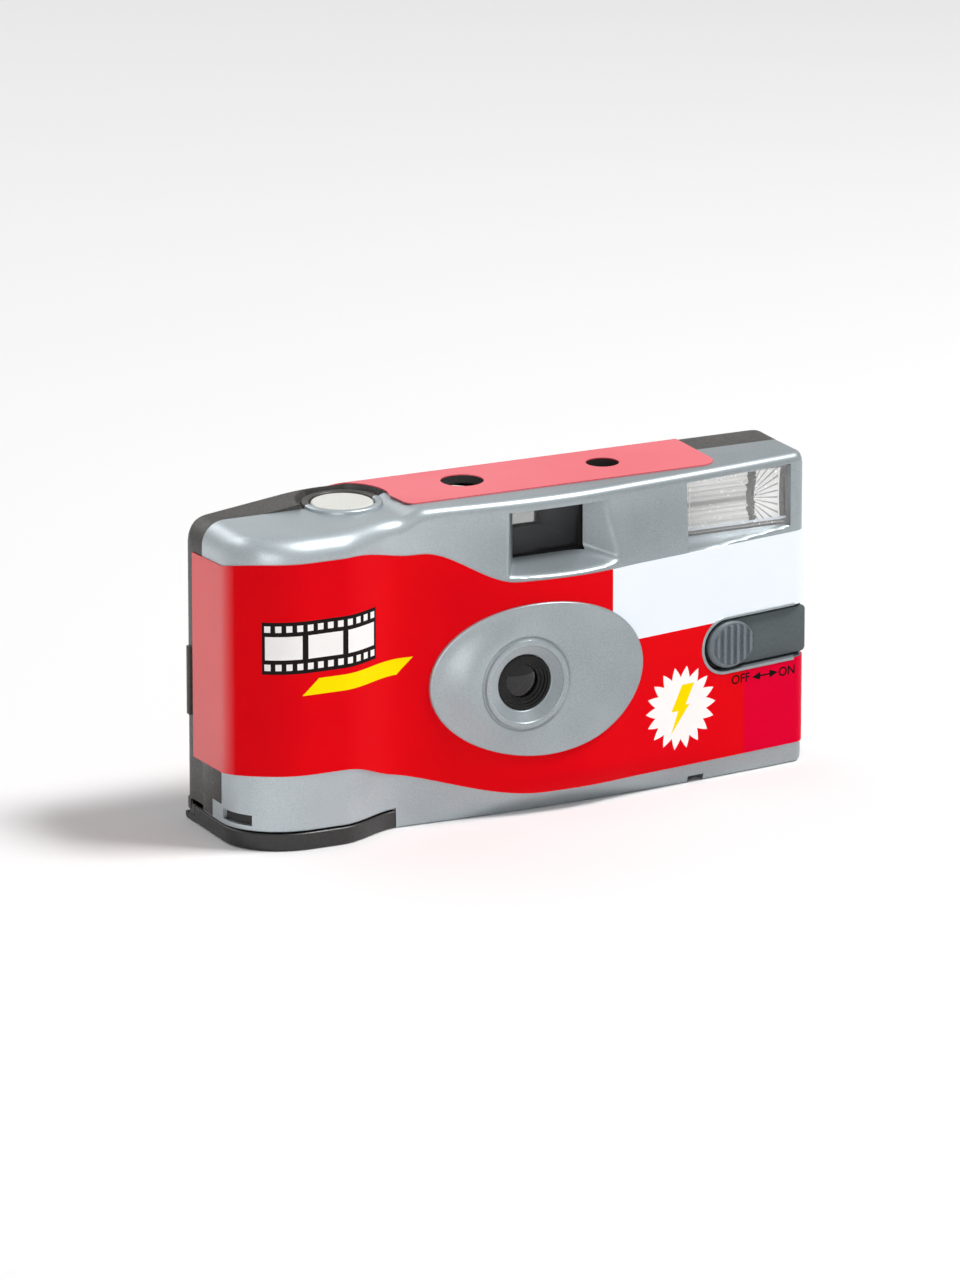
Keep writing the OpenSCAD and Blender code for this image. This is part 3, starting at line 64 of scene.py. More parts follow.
# Lens, bezel, windows, switch, button, top holes, wheel and eyepiece
LENS_X, LENS_Z = -2.9, 25.6
BEZEL_X, BEZEL_Z, BEZEL_RX, BEZEL_RZ, BEZEL_RISE = 0.55, 26.1, 21.4, 14.55, 0.8
RING_R, RING_Y, WELL_R, CONE_Y = 8.45, -14.55, 5.2, -13.0
FINDER_LOW, FINDER_HIGH, FINDER_Y = (-2.5, 47.75), (11.8, 57.35), -6.95
FLASH_LOW, FLASH_HIGH, FLASH_Y = (33.3, 46.35), (55.4, 57.85), -4.2
FINDER_MOUTH, FLASH_MOUTH = (-7.5, 44.85, 20.2), (31.7, 42.55, 56.0)
SWITCH_Z, SWITCH_S, SWITCH_END, SWITCH_R = 25.6, -17.4, 0.6, 4.45
TROUGH_S, TROUGH_R, TROUGH_DEPTH, TROUGH_RIM = -18.45, 4.95, 2.1, 0.65
BUTTON = (-31.0, 5.4)
BUTTON_R, RING_BORE, RING_OUT, RING_TOP, DISH_R = 5.8, 6.05, 7.5, 59.1, 8.1
COUNTER, COUNTER_R, DIAL = (-6.9, 5.05), 4.0, (-11.7, 2.4)
LAMP, LAMP_R = (21.6, 4.75), 3.1
WHEEL_X, SLOT_HALF, SLOT_Z = -44.5, 6.0, (50.0, 55.0)
SCOOP_Z, SCOOP_R, SCOOP_DEPTH, SCOOP_W = 52.5, 4.0, 2.2, 15.0
EYE_X, EYE_Z, EYE_W, EYE_H, EYE_DEPTH = 4.65, 52.0, 13.0, 7.6, 2.6

# Labels, with places of the print along the wrap
LABEL_TOP, LABEL_STEP, LABEL_H, LABEL_LEFT, LABEL_SIDE = 54.1, 9.3, 39.8, 9.4, 1.5
SIDE_DROP = (1.4, 2.4)
LABEL_RISE, PAPER = 0.24, 0.2
FLAP_LEFT, FLAP_RIGHT, FOLD_R = -32.6, 41.0, 1.35
BLOCK_U, BLOCK_Z, BOLT_U, BOLT_Z = 62.5, 30.4, 78.4, 15.4


def mix(a, b, t):
    """Straight blend from a to b."""
    return a + (b - a) * t


def smooth(t):
    """Blend that starts and ends level: three t squared less two t cubed."""
    c = np.clip(t, 0, 1)
    return c * c * (3 - 2 * c)


def soft_max(a, b, k):
    """Larger of two values, with the crossing rounded over a width k."""
    h = np.maximum(k - np.abs(a - b), 0) / k
    return np.maximum(a, b) + h * h * k / 4


def soft_min(a, b, k):
    """Smaller of two values, with the crossing rounded over a width k."""
    return -soft_max(-a, -b, k)


def round_in(r, d):
    """Drop of a quarter circle of radius r at the distance d past its start, nought before it."""
    d = np.maximum(0, d)
    return r - np.sqrt(np.maximum(0, r * r - d * d))


def steps(low, high, gap):
    """Even stations from low to high, about gap apart."""
    return np.linspace(low, high, max(2, int(round((high - low) / gap)) + 1))


def stations(*parts):
    """All stations in order, each once."""
    return np.unique(np.round(np.concatenate(parts), 4))


def arc(n):
    """Angles of a quarter turn."""
    return np.linspace(0, np.pi / 2, n)


def points(*parts):
    """Points from their coordinates, each spread to a common shape."""
    return np.stack(np.broadcast_arrays(*parts), axis=-1)


def lift(z):
    """Share of the swell at a height: a quarter sine at the bottom, full at the label, less at the top."""
    low = np.sin(np.pi / 2 * np.clip(z, 0, LOW_Z) / LOW_Z)
    return np.where(z < LOW_Z, low, mix(1, CROWN_LIFT, smooth((z - HIGH_Z) / (CROWN_Z - HIGH_Z))))


def front_line(x, z):
    """Front in plan: level bulge, waist, hump and straight taper blended along x, the hump fading with lift."""
    flat = FLAT_Y + FLAT_BOW * (x - FLAT_X) ** 2
    taper = END_Y - TAPER * (RIGHT - x)
    hump = mix(flat, HUMP_Y, smooth((x - WAIST_X) / (HUMP_X - WAIST_X)))
    hump = mix(hump, taper, smooth((x - HUMP_X + 2) / HUMP_BLEND))
    return mix(BULGE, mix(flat, hump, lift(z)), smooth((x - CREST_X) / (WAIST_X - CREST_X)))


def front_y(x, z):
    """Front surface: a quarter ellipse at the left corner, the front line, and a quarter circle at the right."""
    across = np.clip((CORNER_X - x) / CORNER_RX, 0, 1)
    corner = CORNER_Y - CORNER_RY * np.sqrt(1 - across ** 2)
    return np.where(x < CORNER_X, corner, front_line(x, z) + round_in(END_R, x - END_X + END_R))


def round_ends(top, x, right):
    """Top line with quarter circles at both ends."""
    top = top - round_in(LEFT_FILLET, LEFT + LEFT_FILLET - x)
    return top - round_in(RIGHT_FILLET, x - right + RIGHT_FILLET)


def front_top(x):
    """Top of the front cover: the shoulder's step, with rounded ends."""
    return round_ends(mix(SHOULDER, BODY_H, smooth((x + 26) / 5)), x, END_X)


def slide(x, y):
    """How far the right end is drawn in: nought at the front, growing evenly to the joint, blended in along x."""
    return FLARE * smooth((x - END_X + FLARE_RUN) / FLARE_RUN) * np.clip((y - END_Y) / (JOINT - END_Y), 0, 1)


def front_fillet(x):
    """Radius of the top edge, wide at the bulge and narrow past the button."""
    return mix(LEFT_FILLET, RIGHT_FILLET, smooth((x + 40) / 24))


def funnel(x, z, back, front, low, high, mouth, left_soft, right_soft):
    """Depth of a recess: the least of three sloping planes, rounded where they cross, under a level ceiling; mouth
    gives the left side, the sill and the right side where the planes start."""
    deep = back - front
    left = front + (x - mouth[0]) / (low[0] - mouth[0]) * deep
    sill = front + (z - mouth[1]) / (low[1] - mouth[1]) * deep
    right = front + (mouth[2] - x) / (mouth[2] - high[0]) * deep
    depth = soft_min(soft_min(left, sill, left_soft), right, right_soft)
    return np.where(z > high[1] + 0.01, -99.0, np.minimum(depth, back))


def recessed_front(x, z):
    """Front surface with the finder's funnel and the flash recess sunk into it, their outer edges rounded."""
    finder = funnel(x, z, FINDER_Y, -15.05, FINDER_LOW, FINDER_HIGH, FINDER_MOUTH, 0.6, 3.4)
    flash = funnel(x, z, FLASH_Y, -14.05, FLASH_LOW, FLASH_HIGH, FLASH_MOUTH, 0.8, 0.6)
    return soft_max(soft_max(front_y(x, z), finder, 0.9), flash, 0.8)


def on_taper(s, y, z):
    """Points on the straight right part of the front: s along it, y inwards, z up from the switch."""
    return points(RIGHT + s * TAPER_COS - y * TAPER_SIN, END_Y + s * TAPER_SIN + y * TAPER_COS, SWITCH_Z + z)


def along_taper(x, y):
    """Distance along the straight right part of the front, from its right end."""
    return (x - RIGHT) * TAPER_COS + (y - END_Y) * TAPER_SIN


def under_taper(x, y):
    """Distance inwards from the straight right part of the front."""
    return (y - END_Y) * TAPER_COS - (x - RIGHT) * TAPER_SIN


# Masks that open the skins
def within(x, z, low, high):
    """True between two corners of a rectangle."""
    return (x > low[0]) & (x < high[0]) & (z > low[1]) & (z < high[1])


def near(x, y, centre, r):
    """True within a radius of a centre."""
    return np.hypot(x - centre[0], y - centre[1]) < r


def in_bezel(x, z, share):
    """True inside a share of the bezel's oval."""
    return np.hypot((x - BEZEL_X) / BEZEL_RX, (z - BEZEL_Z) / BEZEL_RZ) < share


def in_slot(x, y, z, room):
    """True in the switch's strip, whose left end is a half circle, made wider by room."""
    s = along_taper(x, y)
    return (np.hypot(np.minimum(s - TROUGH_S, 0), z - SWITCH_Z) < TROUGH_R + room) & (x > 30)


# Node helpers for the procedural finishes
class Value:
    """Output of a node; what is done with it adds nodes to the same tree."""

    def __init__(self, tree, socket):
        self.tree, self.socket = tree, socket

    def node(self, kind, inputs, out=0, **settings):
        """One output of a new node with its settings and inputs."""
        node = self.tree.nodes.new("ShaderNode" + kind)
        for key, setting in settings.items():
            setattr(node, key, setting)
        feed(node, inputs)
        return Value(self.tree, node.outputs[out])

    def math(self, kind, other=0.0):
        """One sum with a number or another output."""
        return self.node("Math", {0: self, 1: other}, operation=kind)

    def lengths(self):
        """The three coordinates of a vector, in millimetres."""
        return [self.node("SeparateXYZ", {0: self}, i) * 1000.0 for i in range(3)]

    def noise(self, scale, detail=3.0, rough=0.5, stretch=None):
        """Noise of a given number of waves to the metre, drawn out where stretch says so."""
        spot = self.node("Mapping", {"Vector": self, "Scale": stretch}) if stretch else self
        return self.node("TexNoise", {"Vector": spot, "Scale": scale, "Detail": detail, "Roughness": rough}, "Fac")

    def spread(self, low, high, to_low, to_high):
        """Value mapped from one range to another, held at the ends."""
        return self.node("MapRange", dict(enumerate((self, low, high, to_low, to_high))))

    def between(self, low, high):
        """One where the value lies between two limits, else nought."""
        return (self > low) & (self < high)

    def blend(self, a, b):
        """Colour blend from a to b."""
        a, b = (c if isinstance(c, Value) else (*c, 1.0) for c in (a, b))
        return self.node("Mix", {0: self, 6: a, 7: b}, 2, data_type="RGBA")


for sign, operation in (("add", "ADD"), ("sub", "SUBTRACT"), ("mul", "MULTIPLY"), ("truediv", "DIVIDE"),
                        ("gt", "GREATER_THAN"), ("lt", "LESS_THAN"), ("and", "MULTIPLY"), ("or", "MAXIMUM"),
                        ("abs", "ABSOLUTE")):
    setattr(Value, f"__{sign}__", lambda self, other=0.0, kind=operation: self.math(kind, other))


def feed(node, inputs):
    """Puts numbers or outputs of other nodes on a node's inputs."""
    for key, value in inputs.items():
        if isinstance(value, Value):
            value.tree.links.new(value.socket, node.inputs[key])
        else:
            node.inputs[key].default_value = value


def new_material(name):
    """Material with its Principled shader and its Object coordinates."""
    mat = bpy.data.materials.new(name)
    mat.use_nodes = True
    tree = mat.node_tree
    return mat, tree.nodes["Principled BSDF"], Value(tree, tree.nodes.new("ShaderNodeTexCoord").outputs["Object"])


def bump(shader, height, depth):
    """Relief in metres from a height between nought and one."""
    feed(shader, {"Normal": height.node("Bump", {"Strength": 1.0, "Distance": depth, "Height": height})})


def colour(r, g, b):
    """Linear colour of a screen colour given from 0 to 255."""
    c = np.array([r, g, b]) / 255.0
    return np.where(c <= 0.04045, c / 12.92, ((c + 0.055) / 1.055) ** 2.4)


def paint(base, *layers):
    """Lays screen colours over a base, one after another, each where its mask is one."""
    for mask, tone in layers:
        base = mask.blend(base, colour(*tone))
    return base


def finish(name, light, dark, rough, metallic=0.0, grain=2200.0, patch=80.0, relief=1e-5, stretch=None, spec=0.5,
           painted_shade_x=None):
    """Moulded or drawn finish: fine grain and slow patches shift the colour and the gloss, and raise a relief; the last
    argument, when given, paints shade along x: the colour falls towards black by a share between two x, darker to the
    right as if the light came from the left."""
    mat, shader, spot = new_material(name)
    fine = spot.noise(grain, 2.0, 0.6, stretch)
    scales = fine * 0.65 + spot.noise(patch, 2.0) * 0.35
    base = scales.spread(0.3, 0.7, 0.0, 1.0).blend(colour(*dark), colour(*light))
    # Painted shade: the colour darkens towards black along x, to the right, as if the light came from the left.
    if painted_shade_x:
        base = spot.lengths()[0].spread(painted_shade_x[0], painted_shade_x[1], 0.0, painted_shade_x[2]).blend(base, (0.0, 0.0, 0.0))
    feed(shader, {"Base Color": base, "Roughness": scales.spread(0.3, 0.7, rough[1], rough[0]),
                  "Metallic": metallic, "Specular IOR Level": spec})
    bump(shader, fine, relief)
    return mat


# Silver with a painted shade along x, darker towards the right.
silver = finish("silver_flake_plastic", (198, 207, 211), (162, 172, 177), (0.32, 0.44), 0.6, 5200.0, 60.0, 8e-6,
                painted_shade_x=(-50.0, 20.0, 0.3))
black = finish("black_moulded_plastic", (74, 72, 69), (50, 49, 48), (0.36, 0.52), 0.0, 1800.0, 70.0, 2e-5)
door_black = finish("black_door_plastic", (48, 47, 46), (30, 30, 30), (0.3, 0.45), 0.0, 1800.0, 70.0, 2e-5)
frame_black = finish("black_frame_plastic", (38, 38, 38), (24, 24, 24), (0.5, 0.65), 0.0, 1500.0, 80.0, 3e-5)
warm_white = finish("warm_white_plastic", (224, 224, 218), (212, 212, 205), (0.3, 0.42))
white = finish("white_plastic", (240, 240, 236), (226, 226, 221), (0.4, 0.55))
yellow = finish("yellow_plastic", (245, 205, 40), (232, 188, 24), (0.4, 0.55))
slider_grey = finish("slider_grey_plastic", (80, 90, 92), (66, 75, 77), (0.4, 0.54), 0.0, 2600.0, 70.0, 2e-5)
knob_grey = finish("knob_grey_plastic", (118, 128, 134), (98, 107, 113), (0.38, 0.5), 0.0, 2600.0, 70.0, 2e-5)
grey = finish("grey_plastic", (120, 124, 126), (100, 104, 106), (0.4, 0.55), relief=2e-5)
lens_black = finish("lens_black_plastic", (24, 23, 22), (10, 10, 10), (0.2, 0.36), 0.0, 1500.0, 200.0, spec=0.25)
steel = finish("spring_steel", (190, 190, 188), (150, 150, 150), (0.2, 0.35), 1.0, 3000.0, 300.0)
blade_steel = finish("blackened_steel", (60, 60, 62), (40, 40, 42), (0.3, 0.45), 0.8, 3000.0, 300.0)
can_metal = finish("painted_can", (225, 205, 60), (200, 176, 40), (0.25, 0.4), 0.3, 900.0, 60.0)
brass = finish("contact_brass", (214, 178, 96), (178, 138, 62), (0.22, 0.4), 1.0, 2500.0, 200.0, stretch=(1, 1, 8))
film = finish("film_base", (96, 74, 60), (70, 52, 44), (0.15, 0.3), 0.0, 700.0, 100.0, 5e-6)
mirror = finish("reflector_metal", (238, 236, 226), (214, 212, 204), (0.16, 0.3), 0.75, 2600.0, 200.0, 2e-5,
                (0.1, 1, 1))
board = finish("board_resin", (58, 116, 70), (36, 88, 52), (0.35, 0.5), 0.0, 800.0, 120.0)
sleeve = finish("capacitor_sleeve", (44, 48, 60), (28, 30, 40), (0.25, 0.4), 0.0, 700.0, 100.0)
tape = finish("coil_tape", (232, 206, 96), (206, 176, 66), (0.3, 0.45), 0.0, 700.0, 100.0, 2e-5)
winding = finish("coil_winding", (176, 96, 52), (132, 62, 30), (0.25, 0.4), 0.6, 4000.0, 100.0, 4e-5, (1, 1, 6))
jacket = finish("battery_jacket", (66, 70, 84), (44, 46, 58), (0.2, 0.36), 0.3, 700.0, 90.0)
ink = finish("black_ink", (30, 10, 14), (18, 6, 10), (0.5, 0.6), 0.0, 1500.0, 90.0, 2e-6, spec=0.05)


def clear(name, tint, alpha, rough):
    """Clear plastic or glass: mostly seen through, with gloss and a trace of haze from slow noise."""
    mat, shader, spot = new_material(name)
    haze = spot.noise(160.0, 2.0)
    feed(shader, {"Base Color": haze.blend(colour(*tint), 0.9 * colour(*tint)),
                  "Roughness": haze.spread(0.3, 0.7, rough, rough * 1.6),
                  "Alpha": haze.spread(0.3, 0.7, alpha, alpha * 1.25), "IOR": 1.49, "Specular IOR Level": 0.7})
    return mat


# The lens glass is painted near black and mostly opaque: painted shade standing in for the dark inside of the camera
# seen through it.
glass_painted_interior_shade = clear("glass_with_painted_interior_shade", (12, 13, 16), 0.72, 0.03)
clear_lens = clear("clear_lens", (60, 62, 66), 0.2, 0.04)
flash_clear = clear("flash_clear", (250, 250, 250), 0.1, 0.06)
tube_glass = clear("tube_glass", (222, 226, 226), 0.4, 0.05)
amber = clear("lamp_amber", (214, 126, 40), 0.8, 0.12)


def reflector_finish(name):
    """Flash insert by place: pale sheet with fine level lines and a grey tube, painted highlights on the clear frame's
    edges at the left, a ragged dark holder, a fan of white facets, a thin painted highlight and a dark line at the
    right, a pale blue painted highlight over a dark line at the bottom, and grey painted shade at the left and above,
    where the recess's edge shades the window."""
    mat, shader, spot = new_material(name)
    x, _, z = spot.lengths()
    ragged = spot.noise(900.0, 3.0, 0.6)
    streak = spot.noise(900.0, 3.0, 0.6, (0.02, 0.02, 2.2))
    sheet = streak.spread(0.38, 0.62, 0.0, 1.0).blend(colour(206, 207, 204), colour(255, 255, 254))
    tube = abs(z - 52.0).spread(0.25, 0.8, 0.8, 0.0)
    # Painted highlights: bright lines along the clear frame's edges at the left.
    frame_painted_highlights = (x * 1.25).math("FRACT").between(0.3, 0.75) & (x < 35.6)
    sheet = paint(sheet, (tube, (140, 142, 140)), (frame_painted_highlights, (255, 255, 252)))
    turn = (z - 52.0).math("ARCTAN2", x - 47.2)
    facet = abs((turn * 5.0).math("FRACT") - 0.5)
    fan = facet.spread(0.02, 0.2, 0.0, 1.0).blend(colour(120, 122, 124), colour(255, 255, 254))
    holder = (x + (ragged - 0.5) * 2.6).between(47.2, 49.0)
    # Painted light at the edges: a thin painted highlight at the right, a pale blue painted highlight along the bottom,
    # and grey painted shade at the left and above where the recess's edge shades the window.
    insert = paint((x > 48.6).blend(sheet, fan), (holder, (70, 68, 66)), (x.between(53.7, 54.0), (255, 255, 252)),
                   (x > 54.0, (40, 40, 40)), ((x < 33.9) | (z > 57.2), (92, 92, 90)),
                   (z.between(47.25, 47.7), (232, 240, 250)), (z < 47.2, (80, 80, 80)))
    feed(shader, {"Base Color": insert, "Roughness": ragged.spread(0.3, 0.7, 0.15, 0.3), "Metallic": 0.4})
    bump(shader, streak, 1e-5)
    return mat


def label_print(u, z, red):
    """Colours printed on the wrap label, at a length u along it and a height z: a deeper red and a white block at the
    right, a dark film band with two rows of square holes and three pale frames, a leaning yellow bar, and a bolt of two
    leaning strips inside a white star of even points."""
    deep_red = (u > 93.0) & (z < BLOCK_Z)
    block = (u > BLOCK_U) & (z > BLOCK_Z)
    along = u + 9.5
    band = along.between(0.0, 24.0) & z.between(33.6, 43.4)
    rows = z.between(34.3, 35.5) | z.between(41.5, 42.7)
    holes = (along / 2.0).math("FRACT").between(0.22, 0.78) & rows & band
    frames = (along / 8.0).math("FRACT").between(0.07, 0.93) & z.between(36.3, 40.7) & band
    bar = (along - (z - 30.0) * 1.1).between(8.0, 30.0) & z.between(29.4, 32.4)
    bx, bz = u - BOLT_U, z - BOLT_Z
    slant, taper = bx - bz * 0.5, (bz + 4.9) * 0.3
    upper = slant.between(-1.9, 0.9) & bz.between(-0.5, 4.4)
    lower = (slant - 0.2).between(taper * -0.4, taper) & bz.between(-4.9, 0.5)
    point = abs((bz.math("ARCTAN2", bx) * (9 / math.pi)).math("FRACT") - 0.5)
    star = (bx * bx + bz * bz).math("SQRT") < point * 4.2 + 5.9
    return paint(red, (deep_red, (224, 0, 48)), (block, (240, 246, 253)), (band, (34, 28, 28)),
                 (holes | frames, (250, 248, 246)), (bar, (255, 229, 0)), (star, (252, 250, 248)),
                 (upper | lower, (255, 222, 0)))


def label_finish(name, light, dark, printed=False):
    """Label paper under a gloss varnish: red with slow patches, and where it is printed laid out by the sheet's own map
    of length along the wrap and height, with more gloss round the left side."""
    mat, shader, spot = new_material(name)
    fibre = spot.noise(1400.0)
    base, gloss = spot.noise(45.0, 2.0).spread(0.35, 0.65, 0.0, 1.0).blend(colour(*light), colour(*dark)), 0.8
    if printed:
        u, z, _ = spot.node("UVMap", {}, uv_map="wrap").lengths()
        base, gloss = label_print(u, z, base), u.spread(-18.5, -15.0, 1.0, 0.02)
    feed(shader, {"Base Color": base, "Roughness": fibre.spread(0.3, 0.7, 0.2, 0.27), "Specular IOR Level": gloss})
    bump(shader, fibre, 6e-6)
    return mat


reflector_face = reflector_finish("flash_insert")
label = label_finish("printed_label", (231, 8, 18), (226, 5, 20), True)
red_label = label_finish("plain_red_label", (231, 8, 18), (226, 5, 20))
# The flap's pink is painted sheen: the red paper drawn paler, as the top catches the white surroundings at a grazing
# angle.
flap_label_painted_sheen = label_finish("flap_red_label_painted_sheen", (239, 98, 110), (235, 84, 98))


# Meshes and pieces
def fill_mesh(mesh, spots, faces, chart=None):
    """Points in millimetres and faces into a mesh, with double points merged, slivers closed, and a map if given."""
    mesh.from_pydata((np.asarray(spots, float) * MM).tolist(), [], faces)
    if chart is not None:
        corners = np.zeros(len(mesh.loops), int)
        mesh.loops.foreach_get("vertex_index", corners)
        mesh.uv_layers.new(name="wrap").data.foreach_set("uv", (chart[corners] * MM).ravel())
    shape = bmesh.new()
    shape.from_mesh(mesh)
    bmesh.ops.remove_doubles(shape, verts=shape.verts, dist=2e-6)
    bmesh.ops.dissolve_degenerate(shape, dist=1e-6, edges=shape.edges)
    shape.to_mesh(mesh)
    shape.free()


def shade(mesh, sharp):
    """Smooth shading apart from edges sharper than an angle."""
    mesh.shade_smooth()
    mesh.set_sharp_from_angle(angle=math.radians(sharp))


def final_mesh(obj):
    """New mesh of a curve, of letters or of an object with its modifiers."""
    bpy.context.view_layer.update()
    return bpy.data.meshes.new_from_object(obj.evaluated_get(bpy.context.evaluated_depsgraph_get()))


def new_object(name, data):
    """Object at the origin, put in the scene."""
    obj = bpy.data.objects.new(name, data)
    bpy.context.scene.collection.objects.link(obj)
    return obj


def add_piece(name, mesh, mat, body, sharp=32.0):
    """Object at the origin that carries a mesh, shaded smooth apart from its sharp edges."""
    obj = new_object(name, mesh)
    mesh.materials.clear()
    mesh.materials.append(mat)
    shade(mesh, sharp)
    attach(obj, body)
    return obj


def thicken(obj, thick, sharp):
    """Gives a skin a wall inwards, and keeps the mesh that this makes."""
    shell = obj.modifiers.new("wall", "SOLIDIFY")
    shell.thickness = thick * MM
    shell.offset = -1
    solid, skin = final_mesh(obj), obj.data
    obj.modifiers.clear()
    obj.data = solid
    bpy.data.meshes.remove(skin)
    solid.name = obj.name
    shade(solid, sharp)


def surface(name, grid, mat, body="camera", drop=None, around=False, flip=False, thick=0.0, sharp=32.0,
            chart=None):
    """Mesh of a grid of points, one quad a cell; drop leaves cells out, around joins the last column to the first."""
    index = np.arange(grid.shape[0] * grid.shape[1]).reshape(grid.shape[:2])
    a = index if around else index[:, :-1]
    b = np.roll(index, -1, axis=1) if around else index[:, 1:]
    quads = np.stack([a[:-1], b[:-1], b[1:], a[1:]], axis=-1)
    quads = quads[..., ::-1] if flip else quads
    quads = quads.reshape(-1, 4) if drop is None else quads[~drop]
    used, faces = np.unique(quads, return_inverse=True)
    mesh = bpy.data.meshes.new(name)
    fill_mesh(mesh, grid.reshape(-1, 3)[used], faces.reshape(-1, 4).tolist(),
              None if chart is None else chart.reshape(-1, 2)[used])
    obj = add_piece(name, mesh, mat, body, sharp)
    if thick:
        thicken(obj, thick, sharp)
    return obj


def revolve(name, profile, centre, mat, body="camera", axis="z", n=96, turn=(0, 360), sharp=32.0):
    """Profile of radius and height turned about an axis through centre, whole or over part of a turn."""
    whole = turn[1] - turn[0] == 360
    a = np.radians(np.linspace(*turn, n, endpoint=not whole))
    r, h = np.array(profile, float).T[..., None]
    p, q = centre[0] + r * np.cos(a), centre[1] + r * np.sin(a)
    grid = points(p, q, h) if axis == "z" else points(p, h, q)
    return surface(name, grid, mat, body, around=whole, flip=axis == "z", sharp=sharp)


def cell_middle(grid):
    """Coordinates of the middle of each cell of a grid."""
    return np.moveaxis((grid[:-1, :-1] + grid[1:, :-1] + grid[:-1, 1:] + grid[1:, 1:]) / 4, -1, 0)


def set_points(mesh, move):
    """Puts every point of a mesh where a function of the whole array says, in millimetres."""
    spots = np.zeros(len(mesh.vertices) * 3)
    mesh.vertices.foreach_get("co", spots)
    mesh.vertices.foreach_set("co", (move(spots.reshape(-1, 3)) * MM).ravel())
    mesh.update()


def curve_mesh(name, data):
    """Mesh of a flat curve or of letters."""
    obj = new_object(name + "_outline", data)
    mesh = final_mesh(obj)
    bpy.data.objects.remove(obj)
    return mesh


def flat_mesh(name, loops, thick):
    """Flat filled outline with holes, made a mesh: a list of closed loops of points in millimetres."""
    data = bpy.data.curves.new(name, "CURVE")
    data.dimensions = "2D"
    data.fill_mode = "BOTH"
    data.extrude = thick / 2
    for loop in loops:
        line = data.splines.new("POLY")
        line.points.add(len(loop) - 1)
        line.points.foreach_set("co", points(loop[:, 0], loop[:, 1], 0.0, 1.0).ravel())
        line.use_cyclic_u = True
    return curve_mesh(name, data)


def ring_points(centre, r, start=0, end=360, n=72):
    """Points of a circle or an arc."""
    a = np.radians(np.linspace(start, end, n, endpoint=end - start < 360))
    return points(centre[0] + r * np.cos(a), centre[1] + r * np.sin(a))


# Front cover
def front_grid():
    """Sections along x, each going from the joint under the floor, up the front, round the top edge and back to
    the joint, with one more section at each end drawn to the joint to close the side."""
    left = CORNER_X - CORNER_RX * np.cos(arc(30))
    right = END_X - END_R + END_R * np.sin(arc(12))
    xs = stations(left, [LATCH_X], steps(CORNER_X, -30, 0.8), steps(-30, -9, 0.6), [DOOR_X - 0.03, DOOR_X + 0.03],
                  steps(-9, 21, 0.3), steps(21, 31, 0.75), steps(31, END_X - END_R, 0.3), right,
                  [FINDER_LOW[0], FINDER_HIGH[0], FLASH_LOW[0], FLASH_HIGH[0], 55.7, FLASH_MOUTH[2], *NOTCH_X])
    heads = [head + gap for head in (FINDER_HIGH[1], FLASH_HIGH[1]) for gap in (-0.03, 0.03)]
    zs = stations(steps(0.7, 8, 0.5), [NOTCH_H, *LATCH_Z], steps(8, 20, 1.5), steps(20, 34, 0.4),
                  steps(34, FRONT_EVEN, 1.5), steps(FRONT_EVEN, EDGE_TOP, 0.3), [FINDER_LOW[1], FLASH_LOW[1]], heads)
    x, z = xs[:, None], zs[None]
    r, top = front_fillet(x), front_top(x)
    edge = top - r
    floor = np.where(x < DOOR_X, DOOR_ROOM, round_in(FOOT_R, x - END_X + FOOT_R))
    stretched = FRONT_EVEN + (z - FRONT_EVEN) * (edge - FRONT_EVEN) / (EDGE_TOP - FRONT_EVEN)
    wall = np.maximum(np.where(z > FRONT_EVEN, stretched, z), floor + ROLL)
    roll, bend = arc(4)[None], arc(10)[None]
    foot_y, edge_y = front_y(x, floor + ROLL), front_y(x, edge)
    under = mix(JOINT, foot_y + ROLL, np.linspace(0, 1, 7)[None])
    back = mix(edge_y + r, JOINT, np.linspace(0, 1, 26)[None, 1:])
    ys = np.concatenate([under, foot_y + ROLL * (1 - np.sin(roll)), recessed_front(x, wall),
                         edge_y + r * (1 - np.cos(bend)), back], axis=1)
    zs = np.concatenate([floor + 0 * under, floor + ROLL * (1 - np.cos(roll)), wall, edge + r * np.sin(bend),
                         top + 0 * back], axis=1)
    grid = points(x - slide(x, ys), ys, zs)
    left, right = (points(side, JOINT, z_line)[None] for side, z_line in ((LEFT, zs[0]), (RIGHT, zs[-1])))
    return np.concatenate([left, grid, right])


def front_cover():
    """Skin of the front, opened at the windows and under the pieces that sit in it, and thickened inwards, and the
    dark back of the latch's hole."""
    grid = front_grid()
    x, y, z = cell_middle(grid)
    front = (y < 0) & (z < FRONT_EVEN)
    drop = within(x, z, FINDER_LOW, FINDER_HIGH) | within(x, z, FLASH_LOW, FLASH_HIGH) | (in_bezel(x, z, 0.9) & front)
    drop |= in_slot(x, y, z, 0.35) & front & (under_taper(x, y) < TROUGH_DEPTH)
    for centre, r in ((BUTTON, RING_BORE + 0.15), (COUNTER, COUNTER_R), (LAMP, LAMP_R)):
        drop |= near(x, y, centre, r + 0.45) & (z > SHOULDER - 1)
    drop |= (x < LATCH_X) & (y < CORNER_Y + 0.02) & (z > LATCH_Z[0]) & (z < LATCH_Z[1])
    drop |= (x > NOTCH_X[0]) & (x < NOTCH_X[1]) & (z < NOTCH_H) & (y < -4)
    shell = surface("front_shell", grid, silver, drop=drop, flip=True, thick=WALL_T, sharp=38.0)
    set_points(shell.data, lambda p: np.clip(p / MM, (LEFT, BULGE, 0), (END_X, JOINT, BODY_H)))
    turn = np.radians(np.linspace(-4, 50, 20))[:, None]
    grid = points(CORNER_X - 12.2 * np.cos(turn), CORNER_Y - 10.2 * np.sin(turn), [[4.2, 7.0]])
    surface("latch_back", grid, frame_black, flip=True, thick=0.2)
    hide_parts("front_cover")


